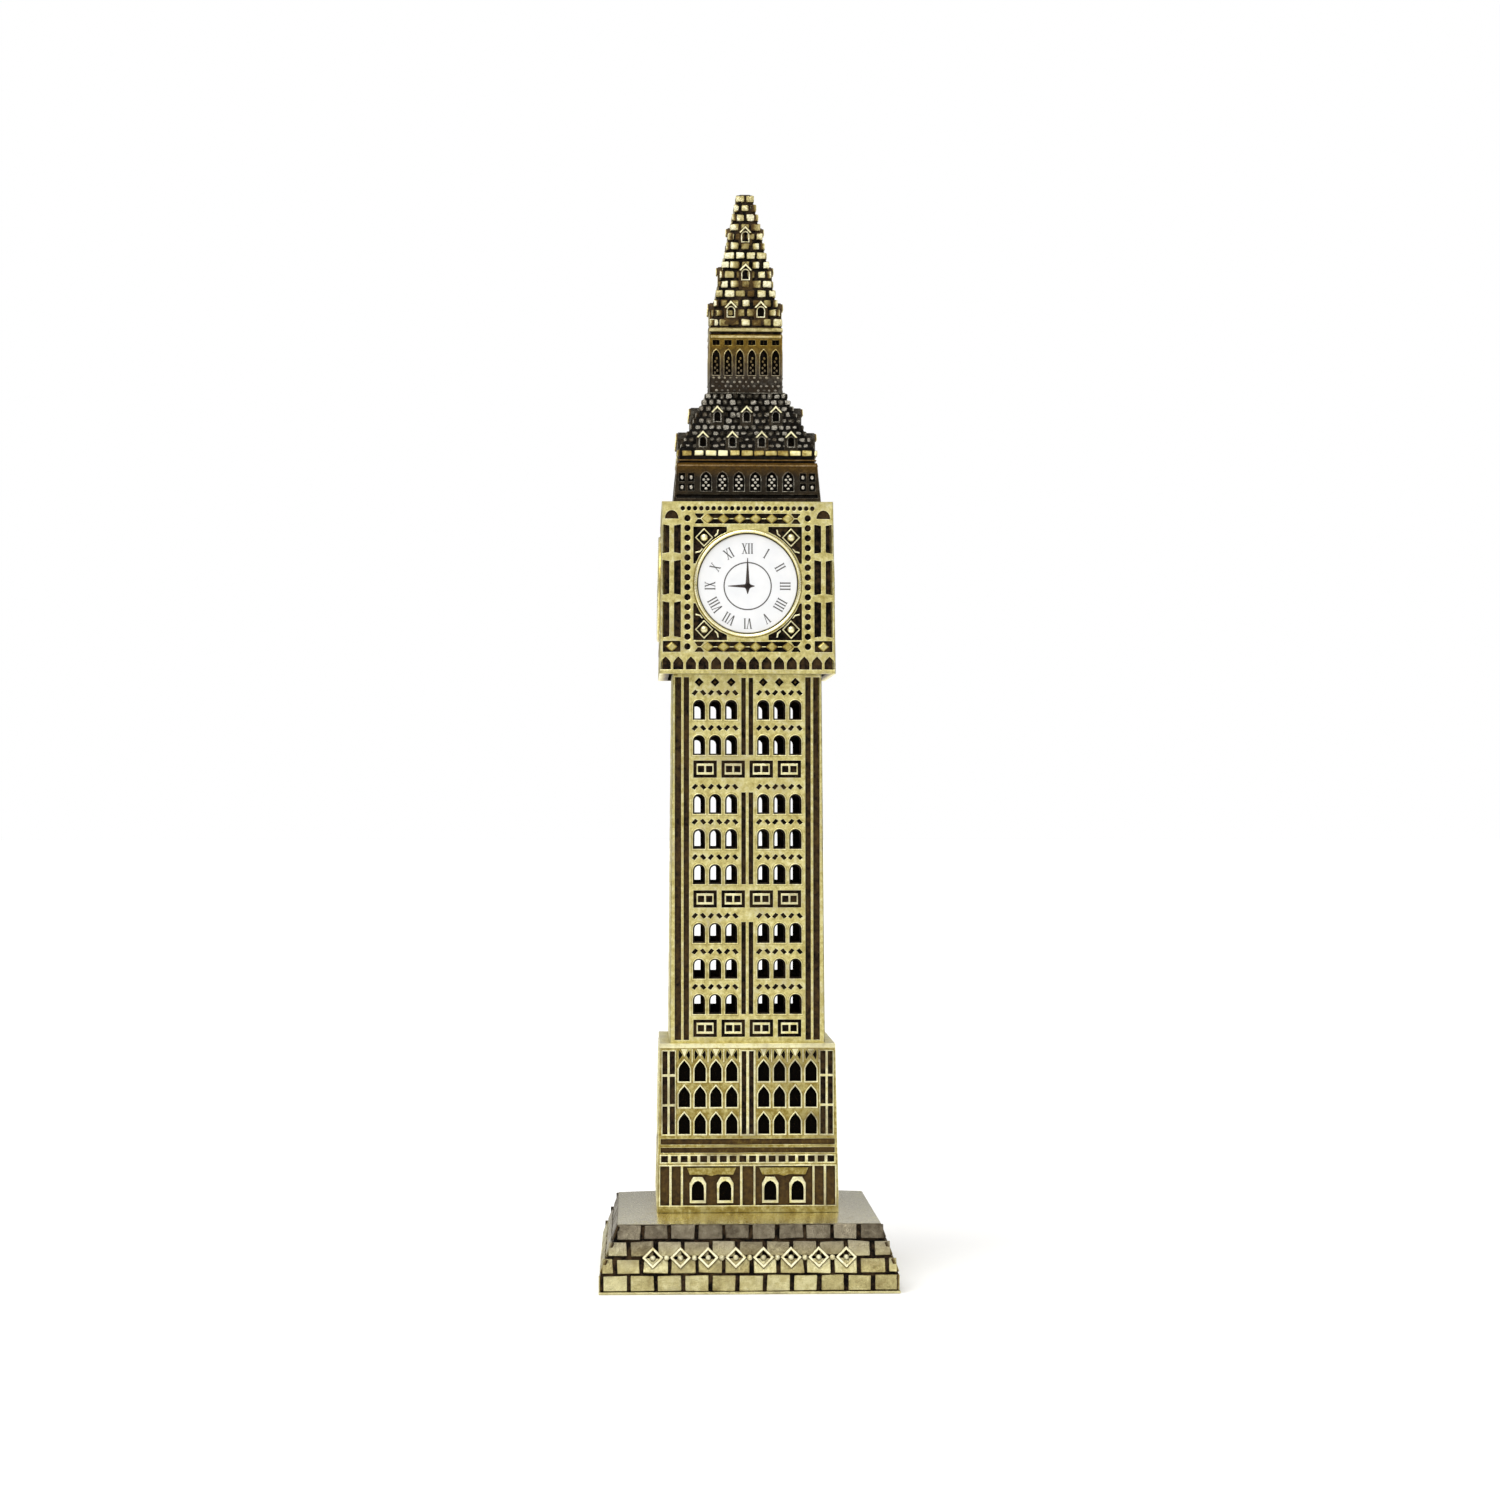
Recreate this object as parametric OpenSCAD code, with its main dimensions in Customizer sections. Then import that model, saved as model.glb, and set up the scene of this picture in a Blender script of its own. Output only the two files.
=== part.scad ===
// Miniature clock tower: a square tower of cast walls on a brick plinth, with four dials, a tiled
// roof, a lantern and a tiled spire. The origin is the centre of the resting face, +Z is up and
// -Y is the front. All sizes are in millimetres.

/* [Overall] */
// Height from the resting face to the tip of the spire
total_h = 180; // [177:1:186]
// Width of the square plinth at its foot
base_w = 48; // [47:0.5:52]
// Thickness of the cast walls
wall_t = 1.3; // [1.1:0.1:1.5]

/* [Plinth] */
// Height of the upright brick course at the foot
band_h = 3.1; // [2.5:0.1:3.5]
// Height of the sloping brick courses
slope_h = 7.7; // [7:0.1:8.5]
// Width of the plinth at the top of its slope
shoulder_w = 42.2; // [40:0.1:43]
// Rise of the shallow hipped top
hip_h = 1; // [0.5:0.1:1.2]

/* [Lower storey] */
// Height of the lower storey with its ledge
lower_h = 27.25; // [27:0.05:28.5]
// Width at the foot
lower_foot_w = 29.5; // [29:0.1:30]
// Width at the head
lower_head_w = 28.5; // [28.2:0.1:29]

/* [Shaft] */
// Height of the shaft
shaft_h = 60; // [59.5:0.1:62]
// Width at the foot
shaft_foot_w = 25.3; // [25:0.1:25.8]
// Width at the head
shaft_head_w = 24.3; // [24:0.1:24.8]
// Width of a shaft window
window_w = 1.9; // [1.5:0.1:2.0]
// Height of a shaft window
window_h = 3.25; // [2.8:0.05:3.4]

/* [Clock stage] */
// Height of the clock stage
clock_h = 28.05; // [27.5:0.05:29]
// Width at the foot
clock_foot_w = 28.7; // [28.3:0.1:29.2]
// Width at the head
clock_head_w = 27.9; // [27.5:0.1:28.3]
// Radius of a dial
dial_r = 8.1; // [7.6:0.1:8.3]
// Outer radius of a dial's bezel
bezel_r = 8.85; // [8.7:0.05:9]

/* [Roofs] */
// Height of the belfry
belfry_h = 7.7; // [7.4:0.1:8.5]
// Width of the belfry at its foot
belfry_foot_w = 24.2; // [23.8:0.1:24.6]
// Width of the lower roof at its eaves
eaves_w = 23; // [22.6:0.1:23.4]
// Height of the lower roof
roof_h = 11; // [10.5:0.1:12]
// Width of the lantern
lantern_w = 12.2; // [11.8:0.1:12.5]
// Height of the lantern
lantern_h = 9.8; // [9.6:0.1:10.5]
// Width of the blunt tip of the spire
tip_w = 2.6; // [2:0.1:3.2]

/* [Hidden] */
$fn = 64;
fit = 0.1;            // gap round every spigot, on each side
over = 1;             // how far a cutter runs past the face that it opens
side_names = ["front", "right", "back", "left"];

// Levels of the storeys, from the resting face up
foot_z = band_h + slope_h + hip_h;
ledge_z = foot_z + lower_h;
clock_z = ledge_z + shaft_h;
belfry_z = clock_z + clock_h;
eaves_z = belfry_z + belfry_h;
lantern_z = eaves_z + roof_h;
spire_z = lantern_z + lantern_h;

// Plinth
plinth_courses = 3;
pad_t = 1;
pad_rim = 1.6;        // width of the metal rim left round the pad
pocket_w = 17.5;      // each of the four pockets under the plinth
rib_t = 2.4;          // ribs between the pockets
roof_t = 2.2;         // metal left over the pockets
boss_r = 3.1;
screw_x = 9.95;       // the screws sit in the middle of a pocket pair
screw_r = 1.2;
screw_head_r = 2.3;
screw_head_h = 1.3;
screw_clearance = 0.2;
boss_gap = 0.2;       // between the pad and the screw heads
pillar_r = 2.6;
pillar_h = 6;
screw_top_z = foot_z + 5;

// Plates between the storeys
ledge_t = 0.8;
plate_t = 1;
spigot_h = 1.2;
lower_wall_h = lower_h - ledge_t;
clock_wall_t = wall_t + 0.3;

// Lower storey, measured from the middle and the foot of a wall
lower_window = [1.8, 3.25, 1.5];    // width, height, radius of the head
lower_pitch = 2.56;                 // from column to column
lower_group_x = 6.44;               // middle of each group of four
lower_rows = [12.7, 17.05, 21.2];
lower_blind_t = 0.9;                // depth of the blind windows and doors
lower_pilaster_x = 11.75;
upper_zone = [12.1, 25.9];          // foot and head of the window zone
mouldings = [[9.9, 0.6], [11.2, 0.75]];     // foot and height of each long groove
dentil = 0.95;
dentil_pitch = 1.6;
dentil_count = 18;
dentil_y = 8.15;
door = [1.95, 3.3, 1.5];
door_pitch = 4.42;
door_group_x = 5.82;
door_y = 1.7;
bay = [8.2, 6.6, 0.5];              // width, height and depth of a door bay
bay_y = 0.6;
foot_grooves = [[11, 12.25], [12.85, 14]];   // sunk strips between the ribs at the foot

// Shaft, measured from the middle and the foot of a wall
window_r = window_w;                // radius of the head
window_pitch = 2.63;
window_group_x = 5.25;              // middle of each group of three
window_rows = [4.65, 10.4, 16.2, 25.75, 31.5, 37.2, 46.8, 52.55];
window_zones = [[4.2, 20.6], [25.2, 41.7], [46.2, 58.6]];   // foot and head of each window zone
shaft_pilaster_x = 9.7;
frieze_rows = [0.9, 21.95, 43.1];
frieze_panel = [3.8, 2.8];
frieze_pitch = 4.6;
frieze_count = 4;
frieze_border = 0.42;               // groove round a frieze panel
frieze_hole = 0.8;
frieze_hole_pitch = 1.3;
strip_w = [0.62, 0.5];              // border and rib of a corner pilaster
centre_rib = [0.26, 0.88];          // inner and outer edge of the groove on each side of the middle rib
groove_t = 0.45;

// Clock stage, measured from the middle and the foot of a wall
seat_t = 0.6;
bezel_proud = 0.45;
bezel_w = 0.66;
dial_t = 0.5;
dial_y = 14.6;
arch_row = [1.33, 2.0, 1.1];        // bottom row of blind arches
arch_row_pitch = 2.05;
arch_row_y = 0.75;
arch_row_count = 14;
corner_panel_x = 12.3;
corner_slot = [0.85, 5];
corner_slot_pitch = 1.75;
corner_slot_rows = [6.3, 12.9, 19.2];
corner_head_y = 24.9;
corner_head_r = 1.1;
blind_t = 0.5;                      // depth of blind arches and panels

// Belfry and lantern
belfry_core_w = 17.5;
belfry_arch = [1.8, 3.3, 1.5];
belfry_arch_pitch = 2.69;
belfry_arch_y = 1.7;
belfry_neck_h = 1.1;
belfry_neck_w = 22.8;
lancet = [1.1, 4.1, 0.95];
lancet_pitch = 1.99;
lancet_y = 3.4;
lantern_core_w = 8.2;

// Roof courses and dormers
mortar = 0.3;                       // height and depth of the joints between courses
roof_courses = 7;
roof_top_w = 13.1;
eaves_course_h = 0.95;              // the upright course at the eaves
spire_courses = 13;
spire_ledge_h = 1.2;
spire_course_h = 1.3;
spire_h = total_h - spire_z;
spire_foot_w = 12.3;
roof_core = [14, 5];                // side and depth of the pocket under the lower roof
spire_core = [6.2, 6];
// Each row of dormers: count, pitch, distance of their fronts from the axis, foot, ridge, width
roof_dormers = [
    [4, 4.81, eaves_w / 2 - 0.1, 0.5, 4.35, 2.2],
    [3, 4.81, eaves_w / 2 - 2.24, 4.4, 8.75, 2.2],
];
spire_dormers = [
    [2, 4.95, lantern_w / 2 - 0.02, 1.6, 5.8, 2.3],
    [1, 0, lantern_w / 2 - 1.5, 7.2, 12.25, 2.3],
    [1, 0, lantern_w / 2 - 3.1, 14.6, 18.8, 2.2],
];

// ---------- shared shapes ----------

// A square block with its foot centred on the origin
module block(w, h) translate([-w / 2, -w / 2, 0]) cube([w, w, h]);

// A square block whose sides lean in from foot_w to head_w
module frustum(foot_w, head_w, h) intersection() {
    wedge(foot_w, head_w, h);
    rotate([0, 0, 90]) wedge(foot_w, head_w, h);
}

// A bar of trapezoid section, as long as its foot is wide
module wedge(foot_w, head_w, h) translate([0, foot_w / 2, 0]) rotate([90, 0, 0]) linear_extrude(foot_w)
    polygon([[-foot_w / 2, 0], [foot_w / 2, 0], [head_w / 2, h], [-head_w / 2, h]]);

// A leaning block made of level courses with sunk joints between them
module coursed(foot_w, head_w, h, courses) {
    pitch = h / courses;
    function width_at(y) = foot_w + (head_w - foot_w) * y / h;
    frustum(foot_w - 2 * mortar, head_w - 2 * mortar, h);
    for (i = [0:courses - 1]) translate([0, 0, i * pitch])
        frustum(width_at(i * pitch), width_at((i + 1) * pitch - mortar), pitch - mortar);
}

// Children that face the front, turned to side 0 front, 1 right, 2 back or 3 left
module facing(side) rotate([0, 0, 90 * side]) children();

module on_four_sides() for (side = [0:3]) facing(side) children();

// Pointed arch with its foot centred on the origin: shape is [width, height, radius of its head]
module arch(shape) {
    w = shape[0];
    r = shape[2];
    rise = sqrt(r * r - (r - w / 2) * (r - w / 2));
    spring = shape[1] - rise;
    translate([-w / 2, 0]) square([w, spring]);
    translate([0, spring]) intersection() {
        translate([w / 2 - r, 0]) circle(r);
        translate([r - w / 2, 0]) circle(r);
        translate([-w / 2, 0]) square([w, rise + over]);
    }
}

// A row of copies of its children, centred on x = 0
module row(count, pitch)
    for (i = [0:count - 1]) translate([(i - (count - 1) / 2) * pitch, 0]) children();

// ---------- leaning walls ----------

function lean(foot_w, head_w, h) = atan((foot_w - head_w) / 2 / h);

// Carries its children to a storey's front face: x across, y up the face, z out of it
module on_face(z, h, foot_w, head_w)
    translate([0, -foot_w / 2, z]) rotate([90 - lean(foot_w, head_w, h), 0, 0]) children();

// Extrudes 2D children into a face by depth, for cutting
module sunk(depth) translate([0, 0, -depth]) linear_extrude(depth + over) children();

// One plain wall of a storey, mitred where it meets its neighbours
module wall_blank(z, h, foot_w, head_w, t) intersection() {
    translate([0, 0, z]) linear_extrude(h) polygon([[0, 0], [-foot_w, -foot_w], [foot_w, -foot_w]]);
    on_face(z, h, foot_w, head_w) translate([-foot_w, -over, -t]) cube([2 * foot_w, h + 2 * over, t]);
}

// Two sunk grooves beside each corner, which leave a border and a rib standing between them
module pilasters(foot_w, head_w, foot_y, head_y, inner_x) {
    border = strip_w[0];
    rib = strip_w[1];
    for (m = [0, 1]) mirror([m, 0]) difference() {
        polygon([[inner_x, foot_y], [foot_w / 2 - border, foot_y],
                 [head_w / 2 - border, head_y], [inner_x, head_y]]);
        translate([inner_x + rib, foot_y - over]) square([rib, head_y - foot_y + 2 * over]);
    }
}

// ---------- plinth and foot ----------

module base_pad() color("#2b2b2b") block(base_w - 2 * pad_rim - 2 * fit, pad_t);

module screw_places() for (x = [-screw_x, screw_x]) translate([x, 0, 0]) children();

module plinth() color("#b8ad6a") difference() {
    union() {
        block(base_w, band_h);
        translate([0, 0, band_h]) coursed(base_w, shoulder_w, slope_h, plinth_courses);
        translate([0, 0, band_h + slope_h]) frustum(shoulder_w, lower_foot_w, hip_h);
    }
    translate([0, 0, -over]) block(base_w - 2 * pad_rim, pad_t + over);
    difference() {
        for (x = [-1, 1], y = [-1, 1])
            translate([x * (pocket_w + rib_t) / 2, y * (pocket_w + rib_t) / 2, 0])
                block(pocket_w, band_h + slope_h - roof_t);
        screw_places() cylinder(r = boss_r, h = total_h);
    }
    screw_places() {
        cylinder(r = screw_head_r + screw_clearance, h = pad_t + boss_gap + screw_head_h);
        cylinder(r = screw_r + screw_clearance, h = total_h);
    }
}

// A screw that clamps the tower to the plinth from below, at x
module screw(x) color("#9a9a9a") translate([x, 0, pad_t + boss_gap]) {
    cylinder(r = screw_head_r, h = screw_head_h);
    cylinder(r = screw_r, h = screw_top_z - pad_t - boss_gap);
}

// The tower's floor, inside the lower walls, with a tapped pillar for each screw
module tower_foot() color("#8f8450") difference() {
    union() {
        translate([0, 0, foot_z]) block(lower_head_w - 2 * wall_t - 2 * fit, plate_t);
        screw_places() translate([0, 0, foot_z]) cylinder(r = pillar_r, h = pillar_h);
    }
    screw_places() cylinder(r = screw_r, h = screw_top_z);
}

// ---------- lower storey ----------

module lower_windows() for (y = lower_rows, s = [-1, 1])
    translate([s * lower_group_x, y]) row(4, lower_pitch) arch(lower_window);

module doors() for (s = [-1, 1])
    translate([s * door_group_x, door_y]) row(2, door_pitch) arch(door);

module door_bays() for (s = [-1, 1])
    translate([s * door_group_x - bay[0] / 2, bay_y]) square([bay[0], bay[1]]);

// The sunk strips on both sides of the middle rib, over one zone
module centre_grooves(zone) for (m = [0, 1]) mirror([m, 0])
    translate([centre_rib[0], zone[0]]) square([centre_rib[1] - centre_rib[0], zone[1] - zone[0]]);

module lower_grooves() {
    pilasters(lower_foot_w, lower_head_w, upper_zone[0], upper_zone[1], lower_pilaster_x);
    centre_grooves(upper_zone);
    for (g = mouldings) translate([-lower_head_w / 2 + strip_w[0], g[0]])
        square([lower_head_w - 2 * strip_w[0], g[1]]);
    translate([0, dentil_y]) row(dentil_count, dentil_pitch)
        translate([-dentil / 2, 0]) square(dentil);
    for (m = [0, 1], g = foot_grooves) mirror([m, 0])
        translate([g[0], bay_y]) square([g[1] - g[0], bay[1]]);
}

module lower_wall() color("#c9be7a") difference() {
    wall_blank(foot_z, lower_wall_h, lower_foot_w, lower_head_w, wall_t);
    on_face(foot_z, lower_h, lower_foot_w, lower_head_w) {
        sunk(lower_blind_t) {
            lower_windows();
            doors();
        }
        sunk(bay[2]) door_bays();
        sunk(groove_t) lower_grooves();
    }
}

// The shoulder plate on the lower walls, with a spigot down into them and one up into the shaft
module lower_ledge() color("#c9be7a") {
    translate([0, 0, ledge_z - ledge_t]) block(lower_head_w, ledge_t);
    translate([0, 0, ledge_z - ledge_t - spigot_h])
        block(lower_head_w - 2 * wall_t - 2 * fit, spigot_h);
    translate([0, 0, ledge_z]) block(shaft_foot_w - 2 * wall_t - 4 * fit, spigot_h);
}

// ---------- shaft ----------

module shaft_windows() for (y = window_rows, s = [-1, 1])
    translate([s * window_group_x, y]) row(3, window_pitch) arch([window_w, window_h, window_r]);

// A frieze panel with its foot centred on the origin: a sunk frame, and two square sinkings inside it
module frieze_sinking() {
    translate([-frieze_panel[0] / 2, 0]) difference() {
        square([frieze_panel[0], frieze_panel[1]]);
        translate([frieze_border, frieze_border])
            square([frieze_panel[0] - 2 * frieze_border, frieze_panel[1] - 2 * frieze_border]);
    }
    translate([0, (frieze_panel[1] - frieze_hole) / 2]) row(2, frieze_hole_pitch)
        translate([-frieze_hole / 2, 0]) square(frieze_hole);
}

module shaft_grooves() {
    for (z = window_zones) {
        pilasters(shaft_foot_w, shaft_head_w, z[0], z[1], shaft_pilaster_x);
        centre_grooves(z);
    }
    for (y = frieze_rows) translate([0, y]) row(frieze_count, frieze_pitch) frieze_sinking();
}

module shaft_wall() color("#c9be7a") difference() {
    wall_blank(ledge_z, shaft_h, shaft_foot_w, shaft_head_w, wall_t);
    on_face(ledge_z, shaft_h, shaft_foot_w, shaft_head_w) {
        sunk(wall_t + over) shaft_windows();
        sunk(groove_t) shaft_grooves();
    }
}

// ---------- clock stage ----------

module clock_floor() color("#8f8450") {
    translate([0, 0, clock_z]) block(clock_head_w - 2 * clock_wall_t - 2 * fit, plate_t);
    translate([0, 0, clock_z - spigot_h]) block(shaft_head_w - 2 * wall_t - 2 * fit, spigot_h);
}

module on_clock_face() on_face(clock_z, clock_h, clock_foot_w, clock_head_w) children();

// The narrow panels beside the dial: pairs of upright slots under a half-round head
module corner_panels() for (s = [-1, 1]) translate([s * corner_panel_x, 0]) {
    for (y = corner_slot_rows) translate([0, y]) row(2, corner_slot_pitch)
        translate([-corner_slot[0] / 2, 0]) square(corner_slot);
    translate([0, corner_head_y]) intersection() {
        circle(corner_head_r);
        translate([-corner_head_r, 0]) square([2 * corner_head_r, corner_head_r]);
    }
}

module clock_wall() color("#c9be7a") difference() {
    wall_blank(clock_z, clock_h, clock_foot_w, clock_head_w, clock_wall_t);
    on_clock_face() {
        translate([0, dial_y, -seat_t]) cylinder(r = bezel_r, h = seat_t + over);
        sunk(blind_t) {
            translate([0, arch_row_y]) row(arch_row_count, arch_row_pitch) arch(arch_row);
            corner_panels();
        }
    }
}

module bezel() color("#dccf8c") on_clock_face() translate([0, dial_y, -seat_t]) difference() {
    cylinder(r = bezel_r, h = seat_t + bezel_proud);
    translate([0, 0, -over]) cylinder(r = bezel_r - bezel_w, h = seat_t + bezel_proud + 2 * over);
}

module dial() color("white") on_clock_face() translate([0, dial_y, -seat_t]) cylinder(r = dial_r, h = dial_t);

module clock_roof() color("#8f8450") {
    translate([0, 0, belfry_z - plate_t]) block(clock_head_w - 2 * clock_wall_t - 2 * fit, plate_t);
    translate([0, 0, belfry_z]) block(belfry_core_w - 2 * fit, spigot_h);
}

// ---------- roofs ----------

module belfry() color("#4a3d26") difference() {
    union() {
        translate([0, 0, belfry_z]) frustum(belfry_foot_w, eaves_w, belfry_h - belfry_neck_h);
        translate([0, 0, belfry_z]) block(belfry_neck_w, belfry_h);
        translate([0, 0, eaves_z]) block(roof_core[0] - 2 * fit, spigot_h);
    }
    translate([0, 0, belfry_z - over]) block(belfry_core_w, belfry_h - 1.5 + over);
    on_four_sides() on_face(belfry_z, belfry_h - belfry_neck_h, belfry_foot_w, eaves_w) sunk(blind_t)
        translate([0, belfry_arch_y]) row(6, belfry_arch_pitch) arch(belfry_arch);
}

// Gabled dormers on the front slope of a roof whose foot is at z; rows as listed above
module dormers(z, rows) for (r = rows) {
    body_h = r[4] - r[3] - r[5] / 2;
    translate([0, 0, z + r[3]]) rotate([90, 0, 0]) linear_extrude(r[2]) row(r[0], r[1]) polygon([
        [-r[5] / 2, 0], [r[5] / 2, 0], [r[5] / 2, body_h], [0, body_h + r[5] / 2], [-r[5] / 2, body_h]
    ]);
}

module lower_roof() color("#4a4234") difference() {
    union() {
        translate([0, 0, eaves_z]) coursed(eaves_w, roof_top_w, roof_h, roof_courses);
        translate([0, 0, eaves_z]) block(eaves_w, eaves_course_h);
        on_four_sides() dormers(eaves_z, roof_dormers);
        translate([0, 0, lantern_z]) block(lantern_core_w - 2 * fit, spigot_h);
    }
    translate([0, 0, eaves_z - over]) block(roof_core[0], roof_core[1] + over);
}

module lantern() color("#8a6a20") difference() {
    union() {
        translate([0, 0, lantern_z]) block(lantern_w, lantern_h);
        translate([0, 0, spire_z]) block(spire_core[0] - 2 * fit, spigot_h);
    }
    translate([0, 0, lantern_z - over]) block(lantern_core_w, lantern_h - 1.5 + over);
    on_four_sides() on_face(lantern_z, lantern_h, lantern_w, lantern_w) sunk(blind_t)
        translate([0, lancet_y]) row(6, lancet_pitch) arch(lancet);
}

module spire() color("#c9be7a") difference() {
    union() {
        translate([0, 0, spire_z]) block(lantern_w, spire_ledge_h);
        translate([0, 0, spire_z + spire_ledge_h]) block(spire_foot_w + 2 * fit, spire_course_h);
        translate([0, 0, spire_z + spire_ledge_h])
            coursed(spire_foot_w, tip_w, spire_h - spire_ledge_h, spire_courses);
        on_four_sides() dormers(spire_z, spire_dormers);
    }
    translate([0, 0, spire_z - over]) block(spire_core[0], spire_core[1] + over);
}

// ---------- the nodes ----------

base_pad();
plinth();
screw(-screw_x);  // screw_left
screw(screw_x);  // screw_right
tower_foot();
lower_ledge();
clock_floor();
clock_roof();
belfry();
lower_roof();
lantern();
spire();
for (side = [0:3]) {
    facing(side) lower_wall();
    facing(side) shaft_wall();
    facing(side) clock_wall();
    facing(side) bezel();
    facing(side) dial();
}
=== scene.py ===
import math
import random

import bmesh
import bpy
from collections import namedtuple
from mathutils import Matrix, Vector, noise
from mathutils.geometry import delaunay_2d_cdt


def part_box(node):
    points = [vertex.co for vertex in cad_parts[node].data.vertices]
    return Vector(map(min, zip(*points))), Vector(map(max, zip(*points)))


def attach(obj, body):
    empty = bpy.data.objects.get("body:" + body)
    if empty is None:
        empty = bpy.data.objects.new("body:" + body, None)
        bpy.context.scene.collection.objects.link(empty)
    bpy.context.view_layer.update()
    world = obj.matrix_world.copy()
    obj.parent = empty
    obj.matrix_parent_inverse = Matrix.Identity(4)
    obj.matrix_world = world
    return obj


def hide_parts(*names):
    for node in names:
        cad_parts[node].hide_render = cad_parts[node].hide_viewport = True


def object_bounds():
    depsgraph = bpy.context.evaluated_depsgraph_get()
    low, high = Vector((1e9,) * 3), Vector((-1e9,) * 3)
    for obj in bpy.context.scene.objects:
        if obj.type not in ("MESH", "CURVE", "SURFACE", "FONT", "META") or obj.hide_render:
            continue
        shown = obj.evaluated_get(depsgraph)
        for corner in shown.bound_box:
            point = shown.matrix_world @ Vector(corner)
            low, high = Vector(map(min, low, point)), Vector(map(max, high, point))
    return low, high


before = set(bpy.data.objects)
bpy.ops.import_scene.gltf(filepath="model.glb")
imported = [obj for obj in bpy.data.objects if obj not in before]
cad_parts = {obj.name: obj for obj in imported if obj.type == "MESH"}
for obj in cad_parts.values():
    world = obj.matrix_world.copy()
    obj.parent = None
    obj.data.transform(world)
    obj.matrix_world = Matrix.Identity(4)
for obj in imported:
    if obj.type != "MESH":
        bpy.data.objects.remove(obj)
cad_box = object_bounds()
noise.seed_set(3)    # so that bricks and tiles come out the same every time

# Sizes are in millimetres. A storey's face is drawn flat: u runs across it, v up it, w out of it.
MM = 0.001
SIDES = ["front", "right", "back", "left"]
EDGE = 0.08          # how far a cast edge is rounded off
ROLL = EDGE * 0.3    # how far in and down the middle of that rounding lies
DRAFT = 0.05         # how much a sinking narrows towards its floor
RUB = 0.34           # how much brighter a rim is than the face that it bounds
SHARP = math.radians(32)    # edges that turn more than this stay sharp
WELD = 0.004         # corners nearer to each other than this are one

# Patina: 1 on a polished face, 0 in a sinking that never gets rubbed, less where it is painted pitch black as
# the shade inside a deep blind opening
RAISED, FIELD, WASHED, SUNK, PAINTED_SHADOW = 1.0, 0.82, 0.36, 0.05, -0.6


# ---------- camera ----------

CAMERA_AWAY = 515
CAMERA_HEIGHT = 76.4
CAMERA_TURN = math.radians(2.0)
CAMERA_TILT = math.radians(1.17)
CAMERA_ASIDE = math.radians(0.1)
LENS = 74


def make_camera():
    lens = bpy.data.cameras.new("camera")
    lens.lens = LENS
    lens.clip_start = 0.01
    camera = bpy.data.objects.new("camera", lens)
    bpy.context.collection.objects.link(camera)
    camera.location = Vector((-CAMERA_AWAY * math.sin(CAMERA_TURN),
                              -CAMERA_AWAY * math.cos(CAMERA_TURN), CAMERA_HEIGHT)) * MM
    camera.rotation_euler = (math.pi / 2 + CAMERA_TILT, 0, -CAMERA_TURN - CAMERA_ASIDE)
    bpy.context.scene.camera = camera


# ---------- flat outlines, all drawn anticlockwise ----------

def rect(x0, y0, x1, y1):
    return [(x0, y0), (x1, y0), (x1, y1), (x0, y1)]


def oval(x, y, rx, ry=None, count=14):
    ry = ry or rx
    turns = [2 * math.pi * (i + 0.5) / count for i in range(count)]
    return [(x + rx * math.cos(t), y + ry * math.sin(t)) for t in turns]


def diamond(x, y, half_w, half_h):
    return [(x + half_w, y), (x, y + half_h), (x - half_w, y), (x, y - half_h)]


def round_arch(x, foot, width, height, count=8):
    """A slot with a half-round head."""
    r = width / 2
    turns = [math.pi * i / count for i in range(count + 1)]
    head = [(x + r * math.cos(t), foot + height - r + r * math.sin(t)) for t in turns]
    return [(x - r, foot), (x + r, foot)] + head


def gabled_arch(x, foot, width, height, peak):
    """A slot with a gabled head, peak tall, whose slopes bend a little at the knee."""
    half, spring = width / 2, foot + height - peak
    knee_x, knee_y = half * 0.72, spring + peak * 0.42
    return [(x - half, foot), (x + half, foot), (x + half, spring), (x + knee_x, knee_y),
            (x, foot + height), (x - knee_x, knee_y), (x - half, spring)]


def pointed_arch(x, foot, width, height, peak, count=3):
    """A slot with a pointed head made of two arcs, peak tall."""
    half = width / 2
    radius = (half * half + peak * peak) / width
    spring = foot + height - peak
    limit = math.asin(min(1, peak / radius))
    right = [(x + half - radius + radius * math.cos(t), spring + radius * math.sin(t))
             for t in [limit * i / count for i in range(count + 1)]]
    left = [(2 * x - px, py) for px, py in reversed(right[:-1])]
    return [(x - half, foot), (x + half, foot)] + right + left


def inset(outline, d):
    """The outline with every side moved inwards by d, or outwards where d is negative."""
    moved = []
    for i, (bx, by) in enumerate(outline):
        ax, ay = outline[i - 1]
        cx, cy = outline[(i + 1) % len(outline)]
        one = Vector((by - ay, ax - bx)).normalized()
        two = Vector((cy - by, bx - cx)).normalized()
        step = (one + two) * (-d / max(0.4, 1 + one.dot(two)))
        moved.append((bx + step.x, by + step.y))
    return moved


def without_repeats(outline):
    return [p for i, p in enumerate(outline) if math.dist(p, outline[i - 1]) > 1e-4]


def spread(count, pitch, middle=0.0):
    """Places of count things, pitch apart, about the middle."""
    return [middle + (i - (count - 1) / 2) * pitch for i in range(count)]


def both(x):
    return (-x, x)


def mirrored(outline, right, top):
    """The outline flipped by the signs right and top, still anticlockwise."""
    flipped = [(right * x, top * y) for x, y in outline]
    return flipped if right * top > 0 else flipped[::-1]


def turned(outline, turn):
    """The outline turned anticlockwise about nought."""
    c, s = math.cos(turn), math.sin(turn)
    return [(x * c - y * s, x * s + y * c) for x, y in outline]


# ---------- relief: a face with sunk, raised and pierced shapes ----------

# level is the w of its floor or top, or None where it goes right through the wall and narrows by throat
Feature = namedtuple("Feature", "outline level patina inside throat", defaults=(0,))


def sink(outline, level=-0.45, patina=SUNK, inside=()):
    return Feature(without_repeats(outline), level, patina, inside)


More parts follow.
